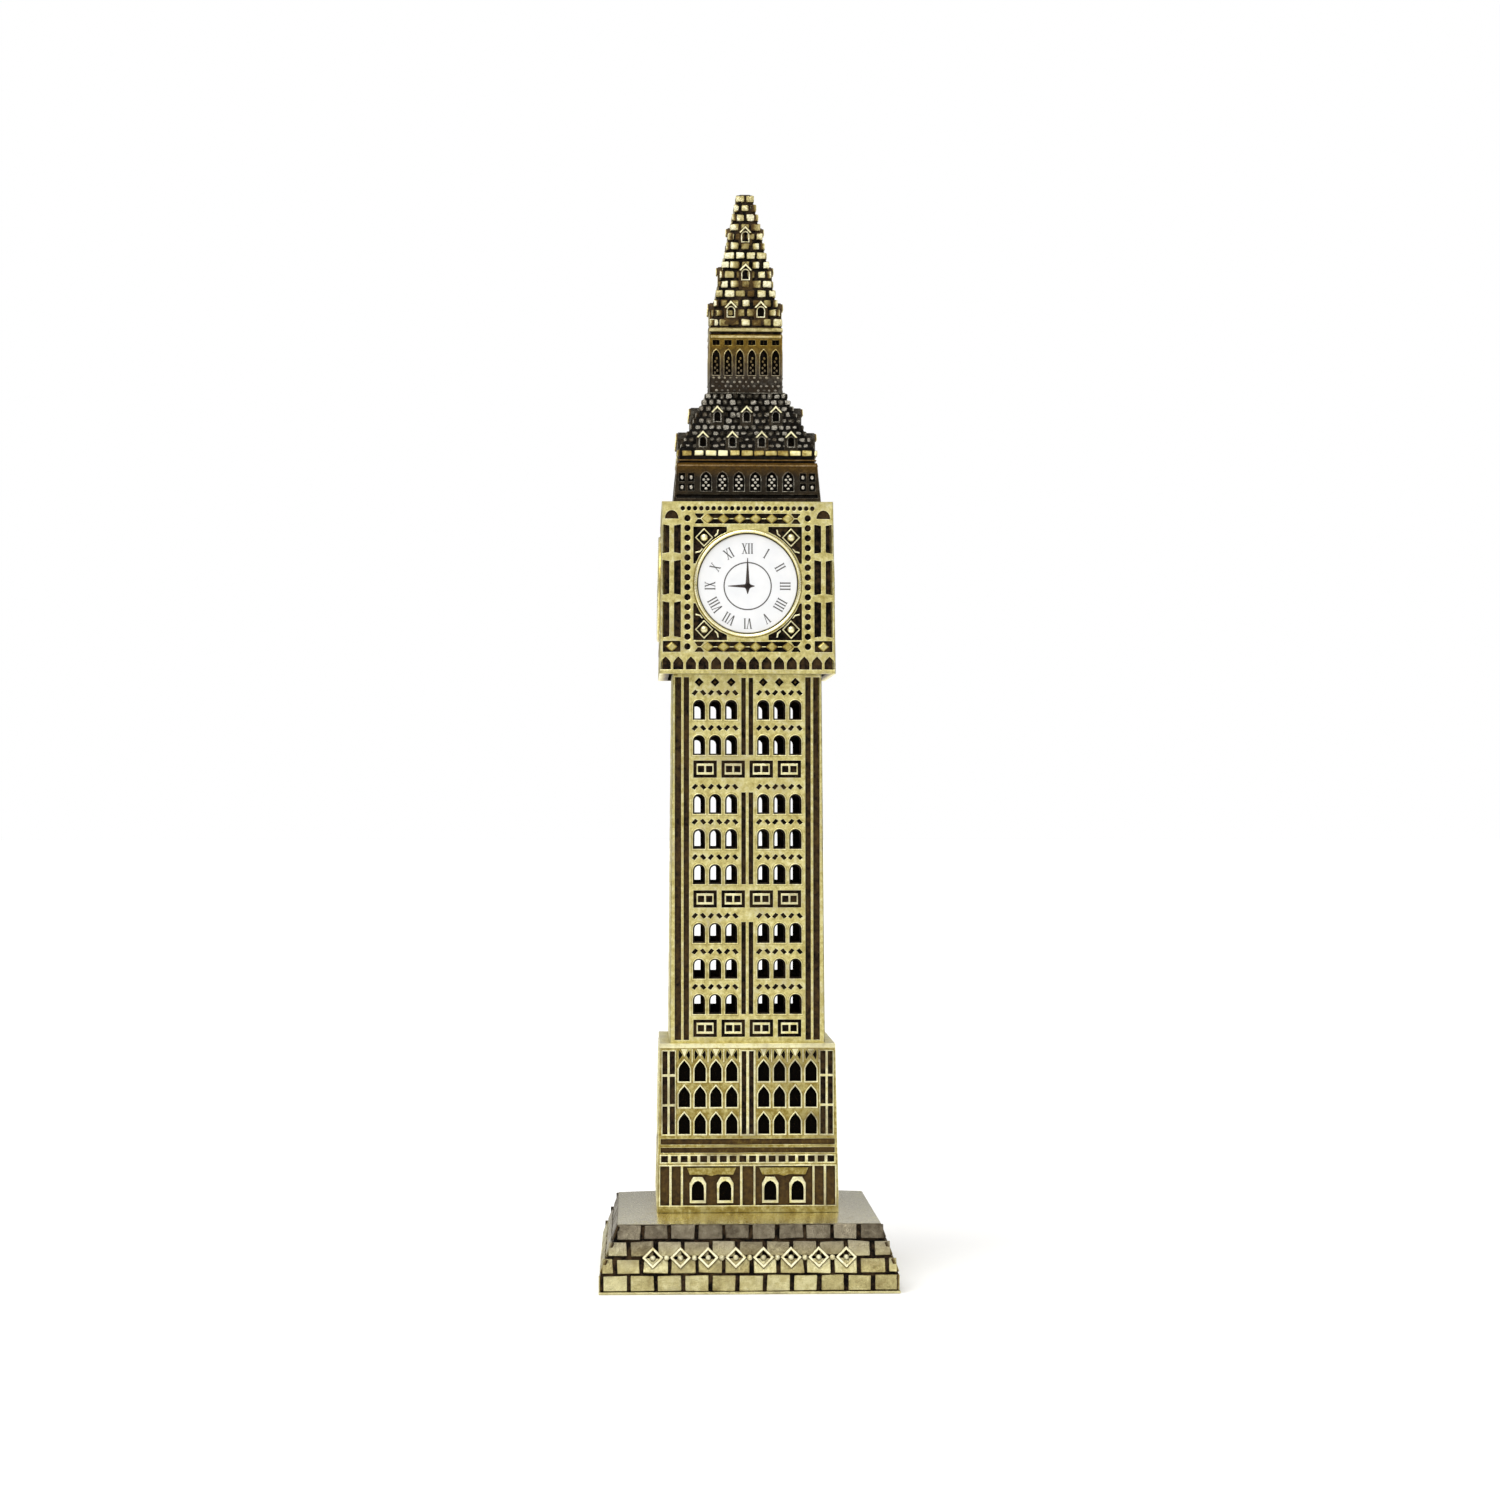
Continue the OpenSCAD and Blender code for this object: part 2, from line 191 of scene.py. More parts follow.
def rise(outline, level=0.0, patina=RAISED, inside=()):
    return Feature(without_repeats(outline), level, patina, inside)


def pierce(outline, throat=0.2):
    """A hole through the wall that narrows by throat on each side."""
    return Feature(without_repeats(outline), None, SUNK, (), throat)


class Shell:
    """Points, faces and patina of one casting, gathered in millimetres."""

    def __init__(self):
        self.points, self.faces, self.patina = [], [], []

    def add(self, points, patina):
        first = len(self.points)
        self.points += points
        self.patina += patina if isinstance(patina, list) else [patina] * len(points)
        return list(range(first, len(self.points)))

    def strip(self, loops):
        """Joins (outline, w, patina) loops of equal length, one after another."""
        rows = [self.add([(x, y, w) for x, y in outline], p) for outline, w, p in loops]
        for low, high in zip(rows, rows[1:]):
            for i in range(len(low)):
                j = (i + 1) % len(low)
                self.faces.append((low[i], low[j], high[j], high[i]))

    def fill(self, outline, holes, w, patina, depth_sign=1):
        """A flat face at w inside the outline, with holes left out."""
        points, rings = [], []
        for ring in [outline] + holes:
            rings.append(list(range(len(points), len(points) + len(ring))))
            points += [Vector(p) for p in ring]
        found, _, triangles, _, _, owners = delaunay_2d_cdt(points, [], rings, 1, 1e-7)
        where = self.add([(p.x, p.y, w) for p in found], patina)
        for triangle, owner in zip(triangles, owners):
            if owner == [0]:
                corners = [where[i] for i in triangle]
                self.faces.append(tuple(corners if depth_sign > 0 else corners[::-1]))

    def terrace(self, outline, level, patina, inside, back):
        """A floor or top at level, with its features; back is the w of the wall's rear face.

        Returns the outlines of the holes in that rear face."""
        holes, throats = [], []
        for f in inside:
            if f.level is not None and f.level >= level:
                holes.append(inset(f.outline, -DRAFT))
                top = inset(f.outline, EDGE)
                self.strip([(holes[-1], level, patina), (f.outline, f.level - EDGE, WASHED),
                            (inset(f.outline, ROLL), f.level - ROLL, f.patina), (top, f.level, f.patina)])
                throats += self.terrace(top, f.level, f.patina, f.inside, back)
                continue
            holes.append(inset(f.outline, -EDGE))
            rim = [(holes[-1], level, patina),
                   (inset(f.outline, -ROLL), level - ROLL, min(RAISED, patina + RUB)),
                   (f.outline, level - EDGE, WASHED)]
            if f.level is None:
                end = inset(f.outline, f.throat)
                self.strip(rim + [(inset(f.outline, DRAFT), level - 0.25, SUNK), (end, back, SUNK)])
                throats.append(end)
            else:
                floor = inset(f.outline, DRAFT)
                self.strip(rim + [(floor, f.level, f.patina)])
                throats += self.terrace(floor, f.level, f.patina, f.inside, back)
        self.fill(outline, holes, level, patina)
        return throats


def wall(foot_w, head_w, height, thick, features, field=FIELD, round_off=0.16):
    """One storey's wall, mitred at both ends, with its features on the face."""
    def side_in(d):
        foot, head = foot_w / 2 - d, head_w / 2 - d
        return [(-foot, 0), (foot, 0), (head, height), (-head, height)]
    shell = Shell()
    front, rear = side_in(round_off), side_in(thick)
    throats = shell.terrace(front, 0, field, features, -thick)
    shell.strip([(front, 0, field), (side_in(round_off * 0.3), -round_off * 0.3, RAISED),
                 (side_in(0), -round_off, RAISED), (rear, -thick, SUNK)])
    shell.fill(rear, throats, -thick, SUNK, -1)
    return shell


# ---------- storeys, read from the frame ----------

class Face:
    """Places a flat drawing on one side of a leaning storey."""

    def __init__(self, side, foot_z, height, foot_w, head_w):
        lean = math.atan2((foot_w - head_w) / 2, height)
        turn = Matrix.Rotation(math.radians(90 * side), 3, "Z")
        self.origin = turn @ Vector((0, -foot_w / 2, foot_z))
        self.across = turn @ Vector((1, 0, 0))
        self.up = turn @ Vector((0, math.sin(lean), math.cos(lean)))
        self.out = turn @ Vector((0, -math.cos(lean), math.sin(lean)))

    def at(self, u, v, w):
        return self.origin + u * self.across + v * self.up + w * self.out

    def matrix(self):
        """Carries a mesh drawn with X across, Y up the face and Z out of it, in millimetres."""
        turned = Matrix((self.across, self.up, self.out)).transposed().to_4x4()
        return Matrix.Translation(self.origin) @ turned


class Storey:
    """Levels and widths of a leaning storey, from the corners of its CAD node."""

    def __init__(self, node):
        points = [v.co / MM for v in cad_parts[node].data.vertices]
        self.foot_z = min(p.z for p in points)
        self.head_z = max(p.z for p in points)
        self.height = self.head_z - self.foot_z
        self.foot_w = self.width_at(points, self.foot_z)
        self.head_w = self.width_at(points, self.head_z)

    @staticmethod
    def width_at(points, z):
        return 2 * max(p.x for p in points if abs(p.z - z) < 0.05)

    def face(self, side):
        return Face(side, self.foot_z, self.height, self.foot_w, self.head_w)


# ---------- from shells to pieces ----------

def gather(mesh, shell, place):
    """Adds a shell to a bmesh, each point carried by place(u, v, w)."""
    layer = mesh.verts.layers.float.get("patina") or mesh.verts.layers.float.new("patina")
    made = []
    for point, patina in zip(shell.points, shell.patina):
        v = mesh.verts.new(place(*point) * MM)
        v[layer] = patina
        made.append(v)
    for face in shell.faces:
        corners = [made[i] for i in face]
        if len(set(corners)) == len(corners):
            mesh.faces.new(corners)


def gather_mesh(mesh, source, matrix):
    """Adds a mesh drawn in millimetres to a bmesh, carried by matrix, in the piece's first material."""
    copy = source.copy()
    copy.polygons.foreach_set("material_index", [0] * len(copy.polygons))
    copy.transform(Matrix.Scale(MM, 4) @ matrix)
    mesh.from_mesh(copy)
    bpy.data.meshes.remove(copy)


def close(mesh):
    bmesh.ops.remove_doubles(mesh, verts=mesh.verts, dist=WELD * MM)
    bmesh.ops.dissolve_degenerate(mesh, edges=mesh.edges, dist=0.001 * MM)
    bmesh.ops.recalc_face_normals(mesh, faces=mesh.faces)


def finish_piece(name, mesh, materials, nodes=(), weighted=True):
    """Makes the bmesh a piece of the object that rides on the root body and stands for these nodes."""
    data = bpy.data.meshes.new(name)
    mesh.to_mesh(data)
    mesh.free()
    for material in materials:
        data.materials.append(material)
    data.shade_smooth()
    data.set_sharp_from_angle(angle=SHARP)
    piece = bpy.data.objects.new(name, data)
    bpy.context.collection.objects.link(piece)
    if weighted:
        even = piece.modifiers.new("even_shading", "WEIGHTED_NORMAL")
        even.keep_sharp = True
    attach(piece, "root")
    if nodes:
        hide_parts(*nodes)


# ---------- geometry nodes ----------

def new_tree(name, inputs):
    """An empty tree with named inputs; returns it with its two end nodes."""
    tree = bpy.data.node_groups.new(name, "GeometryNodeTree")
    tree.interface.new_socket("Geometry", in_out="INPUT", socket_type="NodeSocketGeometry")
    for label, kind in inputs:
        tree.interface.new_socket(label, in_out="INPUT", socket_type=kind)
    tree.interface.new_socket("Geometry", in_out="OUTPUT", socket_type="NodeSocketGeometry")
    return tree, tree.nodes.new("NodeGroupInput"), tree.nodes.new("NodeGroupOutput")


def grow(tree, values):
    """Runs a tree on an empty object with these named values and returns the mesh that it makes."""
    host = bpy.data.objects.new("host", bpy.data.meshes.new("host"))
    bpy.context.collection.objects.link(host)
    modifier = host.modifiers.new("grow", "NODES")
    modifier.node_group = tree
    for item in tree.interface.items_tree:
        if item.in_out == "INPUT" and item.name in values:
            modifier[item.identifier] = values[item.name]
    evaluated = host.evaluated_get(bpy.context.evaluated_depsgraph_get())
    made = bpy.data.meshes.new_from_object(evaluated)
    host.modifiers.remove(modifier)
    empty = host.data
    bpy.data.objects.remove(host)
    bpy.data.meshes.remove(empty)
    return made


def row_tree():
    """Sets copies of one template in a row along X, each a little different from the next."""
    tree, start, end = new_tree("row", [
        ("Template", "NodeSocketObject"), ("Count", "NodeSocketInt"), ("Pitch", "NodeSocketFloat"),
        ("Unevenness", "NodeSocketFloat"), ("Seed", "NodeSocketInt"), ("Material", "NodeSocketMaterial")])
    nodes, link = tree.nodes, tree.links.new

    def maths(operation, a, b=None):
        node = nodes.new("ShaderNodeMath")
        node.operation = operation
        for socket, value in zip(node.inputs, (a, b)):
            if isinstance(value, (int, float)):
                socket.default_value = value
            elif value is not None:
                link(value, socket)
        return node.outputs[0]

    def vector(x, y, z):
        node = nodes.new("ShaderNodeCombineXYZ")
        for socket, value in zip(node.inputs, (x, y, z)):
            if isinstance(value, (int, float)):
                socket.default_value = value
            else:
                link(value, socket)
        return node.outputs[0]

    def chance(spread_by, seed_step):
        """A random vector, each part within spread_by of nought."""
        node = nodes.new("FunctionNodeRandomValue")
        node.data_type = "FLOAT_VECTOR"
        link(vector(*[maths("MULTIPLY", spread_by, -1)] * 3), node.inputs["Min"])
        link(vector(spread_by, spread_by, spread_by), node.inputs["Max"])
        link(maths("ADD", start.outputs["Seed"], seed_step), node.inputs["Seed"])
        return node.outputs[0]

    line = nodes.new("GeometryNodeMeshLine")
    link(start.outputs["Count"], line.inputs["Count"])
    first = maths("MULTIPLY", maths("SUBTRACT", start.outputs["Count"], 1),
                  maths("MULTIPLY", start.outputs["Pitch"], -0.5))
    link(vector(first, 0, 0), line.inputs["Start Location"])
    link(vector(start.outputs["Pitch"], 0, 0), line.inputs["Offset"])
    template = nodes.new("GeometryNodeObjectInfo")
    link(start.outputs["Template"], template.inputs["Object"])
    place = nodes.new("GeometryNodeInstanceOnPoints")
    link(line.outputs["Mesh"], place.inputs["Points"])
    link(template.outputs["Geometry"], place.inputs["Instance"])
    tilt = nodes.new("FunctionNodeEulerToRotation")
    link(chance(maths("MULTIPLY", start.outputs["Unevenness"], 0.35), 1), tilt.inputs[0])
    link(tilt.outputs[0], place.inputs["Rotation"])
    grown = nodes.new("ShaderNodeVectorMath")
    grown.operation = "ADD"
    grown.inputs[0].default_value = (1, 1, 1)
    link(chance(start.outputs["Unevenness"], 2), grown.inputs[1])
    link(grown.outputs[0], place.inputs["Scale"])
    real = nodes.new("GeometryNodeRealizeInstances")
    link(place.outputs["Instances"], real.inputs["Geometry"])
    paint = nodes.new("GeometryNodeSetMaterial")
    link(real.outputs["Geometry"], paint.inputs["Geometry"])
    link(start.outputs["Material"], paint.inputs["Material"])
    link(paint.outputs["Geometry"], end.inputs["Geometry"])
    return tree


def ring_tree():
    """Sweeps a round-topped section round a circle."""
    tree, start, end = new_tree("ring", [
        ("Radius", "NodeSocketFloat"), ("Width", "NodeSocketFloat"), ("Height", "NodeSocketFloat"),
        ("Steps", "NodeSocketInt"), ("Material", "NodeSocketMaterial")])
    nodes, link = tree.nodes, tree.links.new
    path = nodes.new("GeometryNodeCurvePrimitiveCircle")
    link(start.outputs["Radius"], path.inputs["Radius"])
    link(start.outputs["Steps"], path.inputs["Resolution"])
    section = nodes.new("GeometryNodeCurvePrimitiveCircle")
    section.inputs["Resolution"].default_value = 16
    section.inputs["Radius"].default_value = 0.5
    shape = nodes.new("GeometryNodeTransform")
    size = nodes.new("ShaderNodeCombineXYZ")
    link(start.outputs["Width"], size.inputs[0])
    link(start.outputs["Height"], size.inputs[1])
    size.inputs[2].default_value = 1
    link(section.outputs["Curve"], shape.inputs["Geometry"])
    link(size.outputs[0], shape.inputs["Scale"])
    sweep = nodes.new("GeometryNodeCurveToMesh")
    link(path.outputs["Curve"], sweep.inputs["Curve"])
    link(shape.outputs["Geometry"], sweep.inputs["Profile Curve"])
    real = nodes.new("GeometryNodeRealizeInstances")
    link(sweep.outputs["Mesh"], real.inputs["Geometry"])
    paint = nodes.new("GeometryNodeSetMaterial")
    link(real.outputs["Geometry"], paint.inputs["Geometry"])
    link(start.outputs["Material"], paint.inputs["Material"])
    link(paint.outputs["Geometry"], end.inputs["Geometry"])
    return tree


ROW = row_tree()
RING = ring_tree()


def row_of(template, material, count, pitch, seed=0, unevenness=0.0):
    """The mesh of a row of copies of the template, about its middle."""
    return grow(ROW, {"Template": template, "Material": material, "Count": count, "Pitch": pitch,
                      "Unevenness": unevenness, "Seed": seed})


def make_template(mesh):
    data = bpy.data.meshes.new("template")
    mesh.to_mesh(data)
    mesh.free()
    template = bpy.data.objects.new("template", data)
    bpy.context.collection.objects.link(template)
    return template


def drop_template(template):
    data = template.data
    bpy.data.objects.remove(template)
    bpy.data.meshes.remove(data)


def soft_block(width, height, depth, corner, patina=RAISED):
    """A brick with rounded edges, its back on w = 0 and its face at w = depth."""
    mesh = bmesh.new()
    layer = mesh.verts.layers.float.new("patina")
    bmesh.ops.create_cube(mesh, size=1)
    for v in mesh.verts:
        v.co = (v.co.x * width, v.co.y * height, (v.co.z + 0.5) * depth)
    front = [e for e in mesh.edges if max(v.co.z for v in e.verts) > depth * 0.5]
    bmesh.ops.bevel(mesh, geom=front, offset=corner, segments=2, affect="EDGES", profile=0.6)
    for v in mesh.verts:
        v[layer] = SUNK + (patina - SUNK) * max(0.0, min(1.0, v.co.z / depth)) ** 1.5
    return make_template(mesh)


def stud(width, height, depth, rings=3, around=10):
    """A domed boss, flattened a little on top."""
    def ring(turn):
        return oval(0, 0, width / 2 * math.cos(turn), height / 2 * math.cos(turn), around)
    turns = [math.pi / 2 * k / rings * 0.93 for k in range(rings + 1)]
    shell = Shell()
    shell.strip([(ring(turn), depth * math.sin(turn), RAISED if turn else WASHED) for turn in turns])
    shell.fill(ring(turns[-1]), [], depth * math.sin(turns[-1]), RAISED)
    shell.fill(ring(0), [], 0, SUNK, -1)
    return shell_template(shell)


def lozenge(half_w, half_h, depth, patina=RAISED):
    """A raised diamond with sloping sides."""
    shell = Shell()
    outline = diamond(0, 0, half_w, half_h)
    top = inset(outline, min(half_w, half_h) * 0.3)
    shell.strip([(outline, 0, WASHED), (outline, depth * 0.55, WASHED), (top, depth, patina)])
    shell.fill(top, [], depth, patina)
    shell.fill(outline, [], 0, SUNK, -1)
    return shell_template(shell)


def shell_template(shell):
    mesh = bmesh.new()
    gather(mesh, shell, lambda u, v, w: Vector((u, v, w)) / MM)
    bmesh.ops.remove_doubles(mesh, verts=mesh.verts, dist=WELD)
    bmesh.ops.recalc_face_normals(mesh, faces=mesh.faces)
    return make_template(mesh)


# ---------- materials ----------

class Paint:
    """Builds one material's nodes, with short helpers."""

    def __init__(self, name):
        self.material = bpy.data.materials.new(name)
        self.material.use_nodes = True
        self.tree = self.material.node_tree
        self.shader = self.tree.nodes["Principled BSDF"]
        self.place = self.add("ShaderNodeTexCoord").outputs["Object"]

    def add(self, kind, **settings):
        node = self.tree.nodes.new(kind)
        for key, value in settings.items():
            setattr(node, key, value)
        return node

    def join(self, value, socket):
        if isinstance(value, (int, float, tuple)):
            socket.default_value = value
        else:
            self.tree.links.new(value, socket)

    def noise(self, size_mm, detail=3.0, rough=0.55):
        """Cloudy noise whose features are about size_mm across."""
        node = self.add("ShaderNodeTexNoise")
        node.inputs["Scale"].default_value = 1000 / size_mm
        node.inputs["Detail"].default_value = detail
        node.inputs["Roughness"].default_value = rough
        self.join(self.place, node.inputs["Vector"])
        return node.outputs["Fac"]

    def maths(self, operation, a, b=0.0, clamp=False):
        node = self.add("ShaderNodeMath", operation=operation, use_clamp=clamp)
        self.join(a, node.inputs[0])
        self.join(b, node.inputs[1])
        return node.outputs[0]

    def fit(self, value, low, high, to_low=0.0, to_high=1.0):
        node = self.add("ShaderNodeMapRange")
        self.join(value, node.inputs["Value"])
        for label, number in (("From Min", low), ("From Max", high), ("To Min", to_low), ("To Max", to_high)):
            node.inputs[label].default_value = number
        return node.outputs["Result"]

    def ramp(self, value, stops):
        node = self.add("ShaderNodeValToRGB")
        self.join(value, node.inputs["Fac"])
        elements = node.color_ramp.elements
        while len(elements) < len(stops):
            elements.new(0.5)
        for element, (at, colour) in zip(elements, stops):
            element.position = at
            element.color = (*colour, 1)
        return node.outputs["Color"]

    def mix(self, amount, a, b):
        node = self.add("ShaderNodeMix", data_type="RGBA")
        self.join(amount, node.inputs["Factor"])
        self.join((*a, 1) if isinstance(a, tuple) else a, node.inputs["A"])
        self.join((*b, 1) if isinstance(b, tuple) else b, node.inputs["B"])
        return node.outputs["Result"]

    def bump(self, height, distance_mm, strength=1.0):
        node = self.add("ShaderNodeBump")
        node.inputs["Strength"].default_value = strength
        node.inputs["Distance"].default_value = distance_mm * MM
        self.join(height, node.inputs["Height"])
        self.join(node.outputs["Normal"], self.shader.inputs["Normal"])


PITCH_BLACK = (0.002, 0.0015, 0.001)
DEEP = (0.022, 0.012, 0.005)
BROWN = (0.10, 0.058, 0.014)
GOLD = (0.40, 0.315, 0.078)
PALE = (0.76, 0.68, 0.29)
BRIGHT = (0.95, 0.90, 0.56)


def antique_brass(name, stops, stain=(0.20, 0.12, 0.022), stain_amount=0.5, rough=(0.34, 0.5), pits=0.035,
                  pit_size=0.8, dark_below=None, tint=None):
    """Cast metal with a dark wash rubbed off its raised faces; the mesh's patina attribute drives it.

    dark_below is (low z, high z, amount); tint is (low z, high z, dark colour, light colour, amount below
    low z, amount above high z)."""
    paint = Paint(name)
    patina = paint.add("ShaderNodeAttribute", attribute_name="patina").outputs["Fac"]
    cloud = paint.noise(5.5, 3)
    mottle = paint.noise(pit_size, 4, 0.65)
    grain = paint.noise(0.16, 2)
    worn = paint.maths("ADD", patina, paint.fit(mottle, 0.3, 0.7, -0.14, 0.14))
    worn = paint.maths("ADD", worn, paint.fit(cloud, 0.3, 0.7, -0.07, 0.07))
    height = paint.add("ShaderNodeSeparateXYZ")
    paint.join(paint.place, height.inputs[0])
    if dark_below:
        low, high, amount = dark_below
        shade = paint.fit(height.outputs["Z"], low * MM, high * MM, -amount, 0.0)
        worn = paint.maths("ADD", worn, shade)
    colour = paint.ramp(worn, [(0.0, PITCH_BLACK)] + stops)
    patch = paint.maths("MULTIPLY", paint.fit(cloud, 0.5, 0.7), paint.fit(mottle, 0.35, 0.65, 0.5, 1.0))
    patch = paint.maths("MULTIPLY", patch, paint.fit(patina, 0.3, 0.8, 0.0, stain_amount))
    colour = paint.mix(patch, colour, stain)
    if tint:
        low, high, dark, light, below, above = tint
        amount = paint.fit(height.outputs["Z"], low * MM, high * MM, below, above)
        shade = paint.mix(paint.fit(worn, 0.35, 0.95), dark, light)
        colour = paint.mix(paint.maths("MULTIPLY", amount, paint.fit(worn, 0.1, 0.4)), colour, shade)
    colour = paint.mix(paint.fit(grain, 0.58, 0.8, 0.0, 0.4), colour, BROWN)
    paint.join(colour, paint.shader.inputs["Base Color"])
    paint.join(paint.fit(worn, 0.1, 0.55, 0.35, 1.0), paint.shader.inputs["Metallic"])
    gloss = paint.fit(worn, 0.1, 0.9, rough[1], rough[0])
    gloss = paint.maths("ADD", gloss, paint.fit(grain, 0.3, 0.7, -0.05, 0.08))
    paint.join(gloss, paint.shader.inputs["Roughness"])
    paint.join(paint.fit(worn, -0.1, 0.6, 0.03, 0.5), paint.shader.inputs["Specular IOR Level"])
    paint.bump(paint.maths("ADD", paint.maths("MULTIPLY", mottle, 1.6), grain), pits)
    return paint.material


def printed_white():
    """The dial's white ground under a clear coat."""
    paint = Paint("printed_white")
    cloud = paint.noise(2.5, 2)
    paint.join(paint.mix(paint.fit(cloud, 0.3, 0.7), (0.74, 0.75, 0.76), (0.80, 0.80, 0.80)),
               paint.shader.inputs["Base Color"])
    paint.shader.inputs["Roughness"].default_value = 0.3
    paint.shader.inputs["Coat Weight"].default_value = 0.4
    paint.bump(paint.noise(0.6, 2), 0.004)
    return paint.material


def printing_ink(name, dark, light):
    paint = Paint(name)
    paint.join(paint.mix(paint.noise(0.35, 2), dark, light), paint.shader.inputs["Base Color"])
    paint.shader.inputs["Roughness"].default_value = 0.45
    paint.bump(paint.noise(0.2, 2), 0.002)
    return paint.material


def black_felt():
    paint = Paint("black_felt")
    fuzz = paint.noise(0.25, 4, 0.7)
    colour = paint.mix(fuzz, (0.012, 0.012, 0.013), (0.05, 0.05, 0.052))
    paint.join(colour, paint.shader.inputs["Base Color"])
    paint.shader.inputs["Roughness"].default_value = 0.95
    paint.shader.inputs["Sheen Weight"].default_value = 0.3
    paint.bump(fuzz, 0.12)
    return paint.material


def zinc_steel():
    paint = Paint("zinc_steel")
    streak = paint.noise(0.4, 3)
    colour = paint.mix(streak, (0.42, 0.43, 0.45), (0.66, 0.66, 0.66))
    paint.join(colour, paint.shader.inputs["Base Color"])
    paint.shader.inputs["Metallic"].default_value = 1.0
    paint.join(paint.fit(streak, 0.3, 0.7, 0.25, 0.42), paint.shader.inputs["Roughness"])
    paint.bump(streak, 0.01)
    return paint.material


def floor_white():
    paint = Paint("floor_white")
    paint.shader.inputs["Base Color"].default_value = (0.93, 0.93, 0.93, 1)
    paint.shader.inputs["Roughness"].default_value = 0.9
    return paint.material


WALL_STOPS = [(0.07, DEEP), (0.36, BROWN), (0.62, GOLD), (0.85, PALE), (1.0, BRIGHT)]
WALL_BRASS = antique_brass("wall_brass", WALL_STOPS)
LOWER_STOPS = [(0.07, DEEP), (0.36, BROWN), (0.62, (0.33, 0.25, 0.06)), (0.85, PALE), (1.0, BRIGHT)]
LOWER_BRASS = antique_brass("lower_brass", LOWER_STOPS, stain=(0.13, 0.08, 0.015), stain_amount=0.95)
PLINTH_STOPS = [(0.06, DEEP), (0.38, BROWN), (0.62, (0.27, 0.22, 0.09)), (0.85, (0.50, 0.44, 0.21)),
                (1.0, (0.66, 0.61, 0.34))]
PLINTH_BRASS = antique_brass("plinth_brass", PLINTH_STOPS, stain=(0.17, 0.13, 0.06), stain_amount=0.7,
                             pits=0.16, pit_size=1.1,
                             tint=(4.2, 8.5, (0.06, 0.048, 0.033), (0.30, 0.265, 0.20), 0.0, 0.9))
# A paler copy of the brass for the plinth's shoulder top: painted sheen where that top faces the sky, with a
# real lower roughness.
HIP_PAINTED_SHEEN_STOPS = [(0.1, DEEP), (0.4, BROWN), (0.7, (0.66, 0.59, 0.38)), (0.9, (0.86, 0.82, 0.66)),
             (1.0, BRIGHT)]
HIP_PAINTED_SHEEN_BRASS = antique_brass("hip_painted_sheen_brass", HIP_PAINTED_SHEEN_STOPS, stain_amount=0.2, rough=(0.24, 0.32), pits=0.006)
SPIRE_STOPS = [(0.10, DEEP), (0.42, BROWN), (0.66, (0.34, 0.28, 0.11)), (0.86, (0.60, 0.53, 0.27)),
               (1.0, (0.84, 0.80, 0.55))]
SPIRE_BRASS = antique_brass("spire_brass", SPIRE_STOPS, stain_amount=0.3, pits=0.14)
EAVES_STOPS = [(0.10, DEEP), (0.42, BROWN), (0.66, (0.36, 0.27, 0.08)), (0.86, PALE), (1.0, BRIGHT)]
EAVES_BRASS = antique_brass("eaves_brass", EAVES_STOPS, stain_amount=0.6, pits=0.1)
DARK_STOPS = [(0.1, (0.005, 0.004, 0.003)), (0.5, (0.018, 0.014, 0.009)), (0.76, (0.050, 0.043, 0.032)),
              (0.9, (0.18, 0.165, 0.13)), (1.0, (0.46, 0.43, 0.36))]
DARK_BRASS = antique_brass("dark_brass", DARK_STOPS, stain=(0.07, 0.036, 0.008), stain_amount=0.7,
                           rough=(0.24, 0.4), pits=0.3, pit_size=0.9)
BELFRY_BRASS = antique_brass("belfry_brass", DARK_STOPS, stain=(0.06, 0.03, 0.006), stain_amount=0.7,
                             rough=(0.3, 0.45), pits=0.12,
                             tint=(131.2, 133.4, (0.035, 0.017, 0.003), (0.17, 0.09, 0.012), 0.0, 0.85))
LANTERN_STOPS = [(0.12, DEEP), (0.45, (0.05, 0.030, 0.009)), (0.7, (0.20, 0.125, 0.022)),
                 (0.92, (0.42, 0.31, 0.09)), (1.0, (0.60, 0.50, 0.24))]
LANTERN_BRASS = antique_brass("lantern_brass", LANTERN_STOPS, stain=(0.12, 0.06, 0.008), pits=0.06,
                              dark_below=(146.5, 153.6, 0.3),
                              tint=(147.5, 153.4, (0.014, 0.011, 0.008), (0.25, 0.225, 0.18), 1.0, 0.0))
INNER_STOPS = [(0.1, DEEP), (0.5, (0.05, 0.035, 0.018)), (1.0, (0.16, 0.12, 0.06))]
INNER_BRASS = antique_brass("inner_brass", INNER_STOPS)
BEZEL_STOPS = [(0.1, DEEP), (0.5, GOLD), (0.85, PALE), (1.0, (0.93, 0.87, 0.58))]
BEZEL_BRASS = antique_brass("bezel_brass", BEZEL_STOPS, stain_amount=0.2, rough=(0.25, 0.4), pits=0.012)
DIAL_WHITE = printed_white()
NUMERAL_INK = printing_ink("numeral_ink", (0.05, 0.048, 0.045), (0.11, 0.105, 0.10))
HAND_INK = printing_ink("hand_ink", (0.018, 0.011, 0.009), (0.045, 0.03, 0.025))
FELT = black_felt()
STEEL = zinc_steel()


# ---------- bricks and tiles ----------

# width is from joint to joint, proud how far a tile stands off its face and sunk_in how far it reaches
# behind it; wear, rough and stretch are how far its patina, outline and length may go astray
Tile = namedtuple("Tile", "width joint proud corner unevenness wear rough stretch patina sunk_in",
                  defaults=(RAISED, 0.25))


def upright_face(side, z, half):
    """A plumb face whose foot is at z, half away from the middle."""
    return Face(side, z, 10, 2 * half, 2 * half)


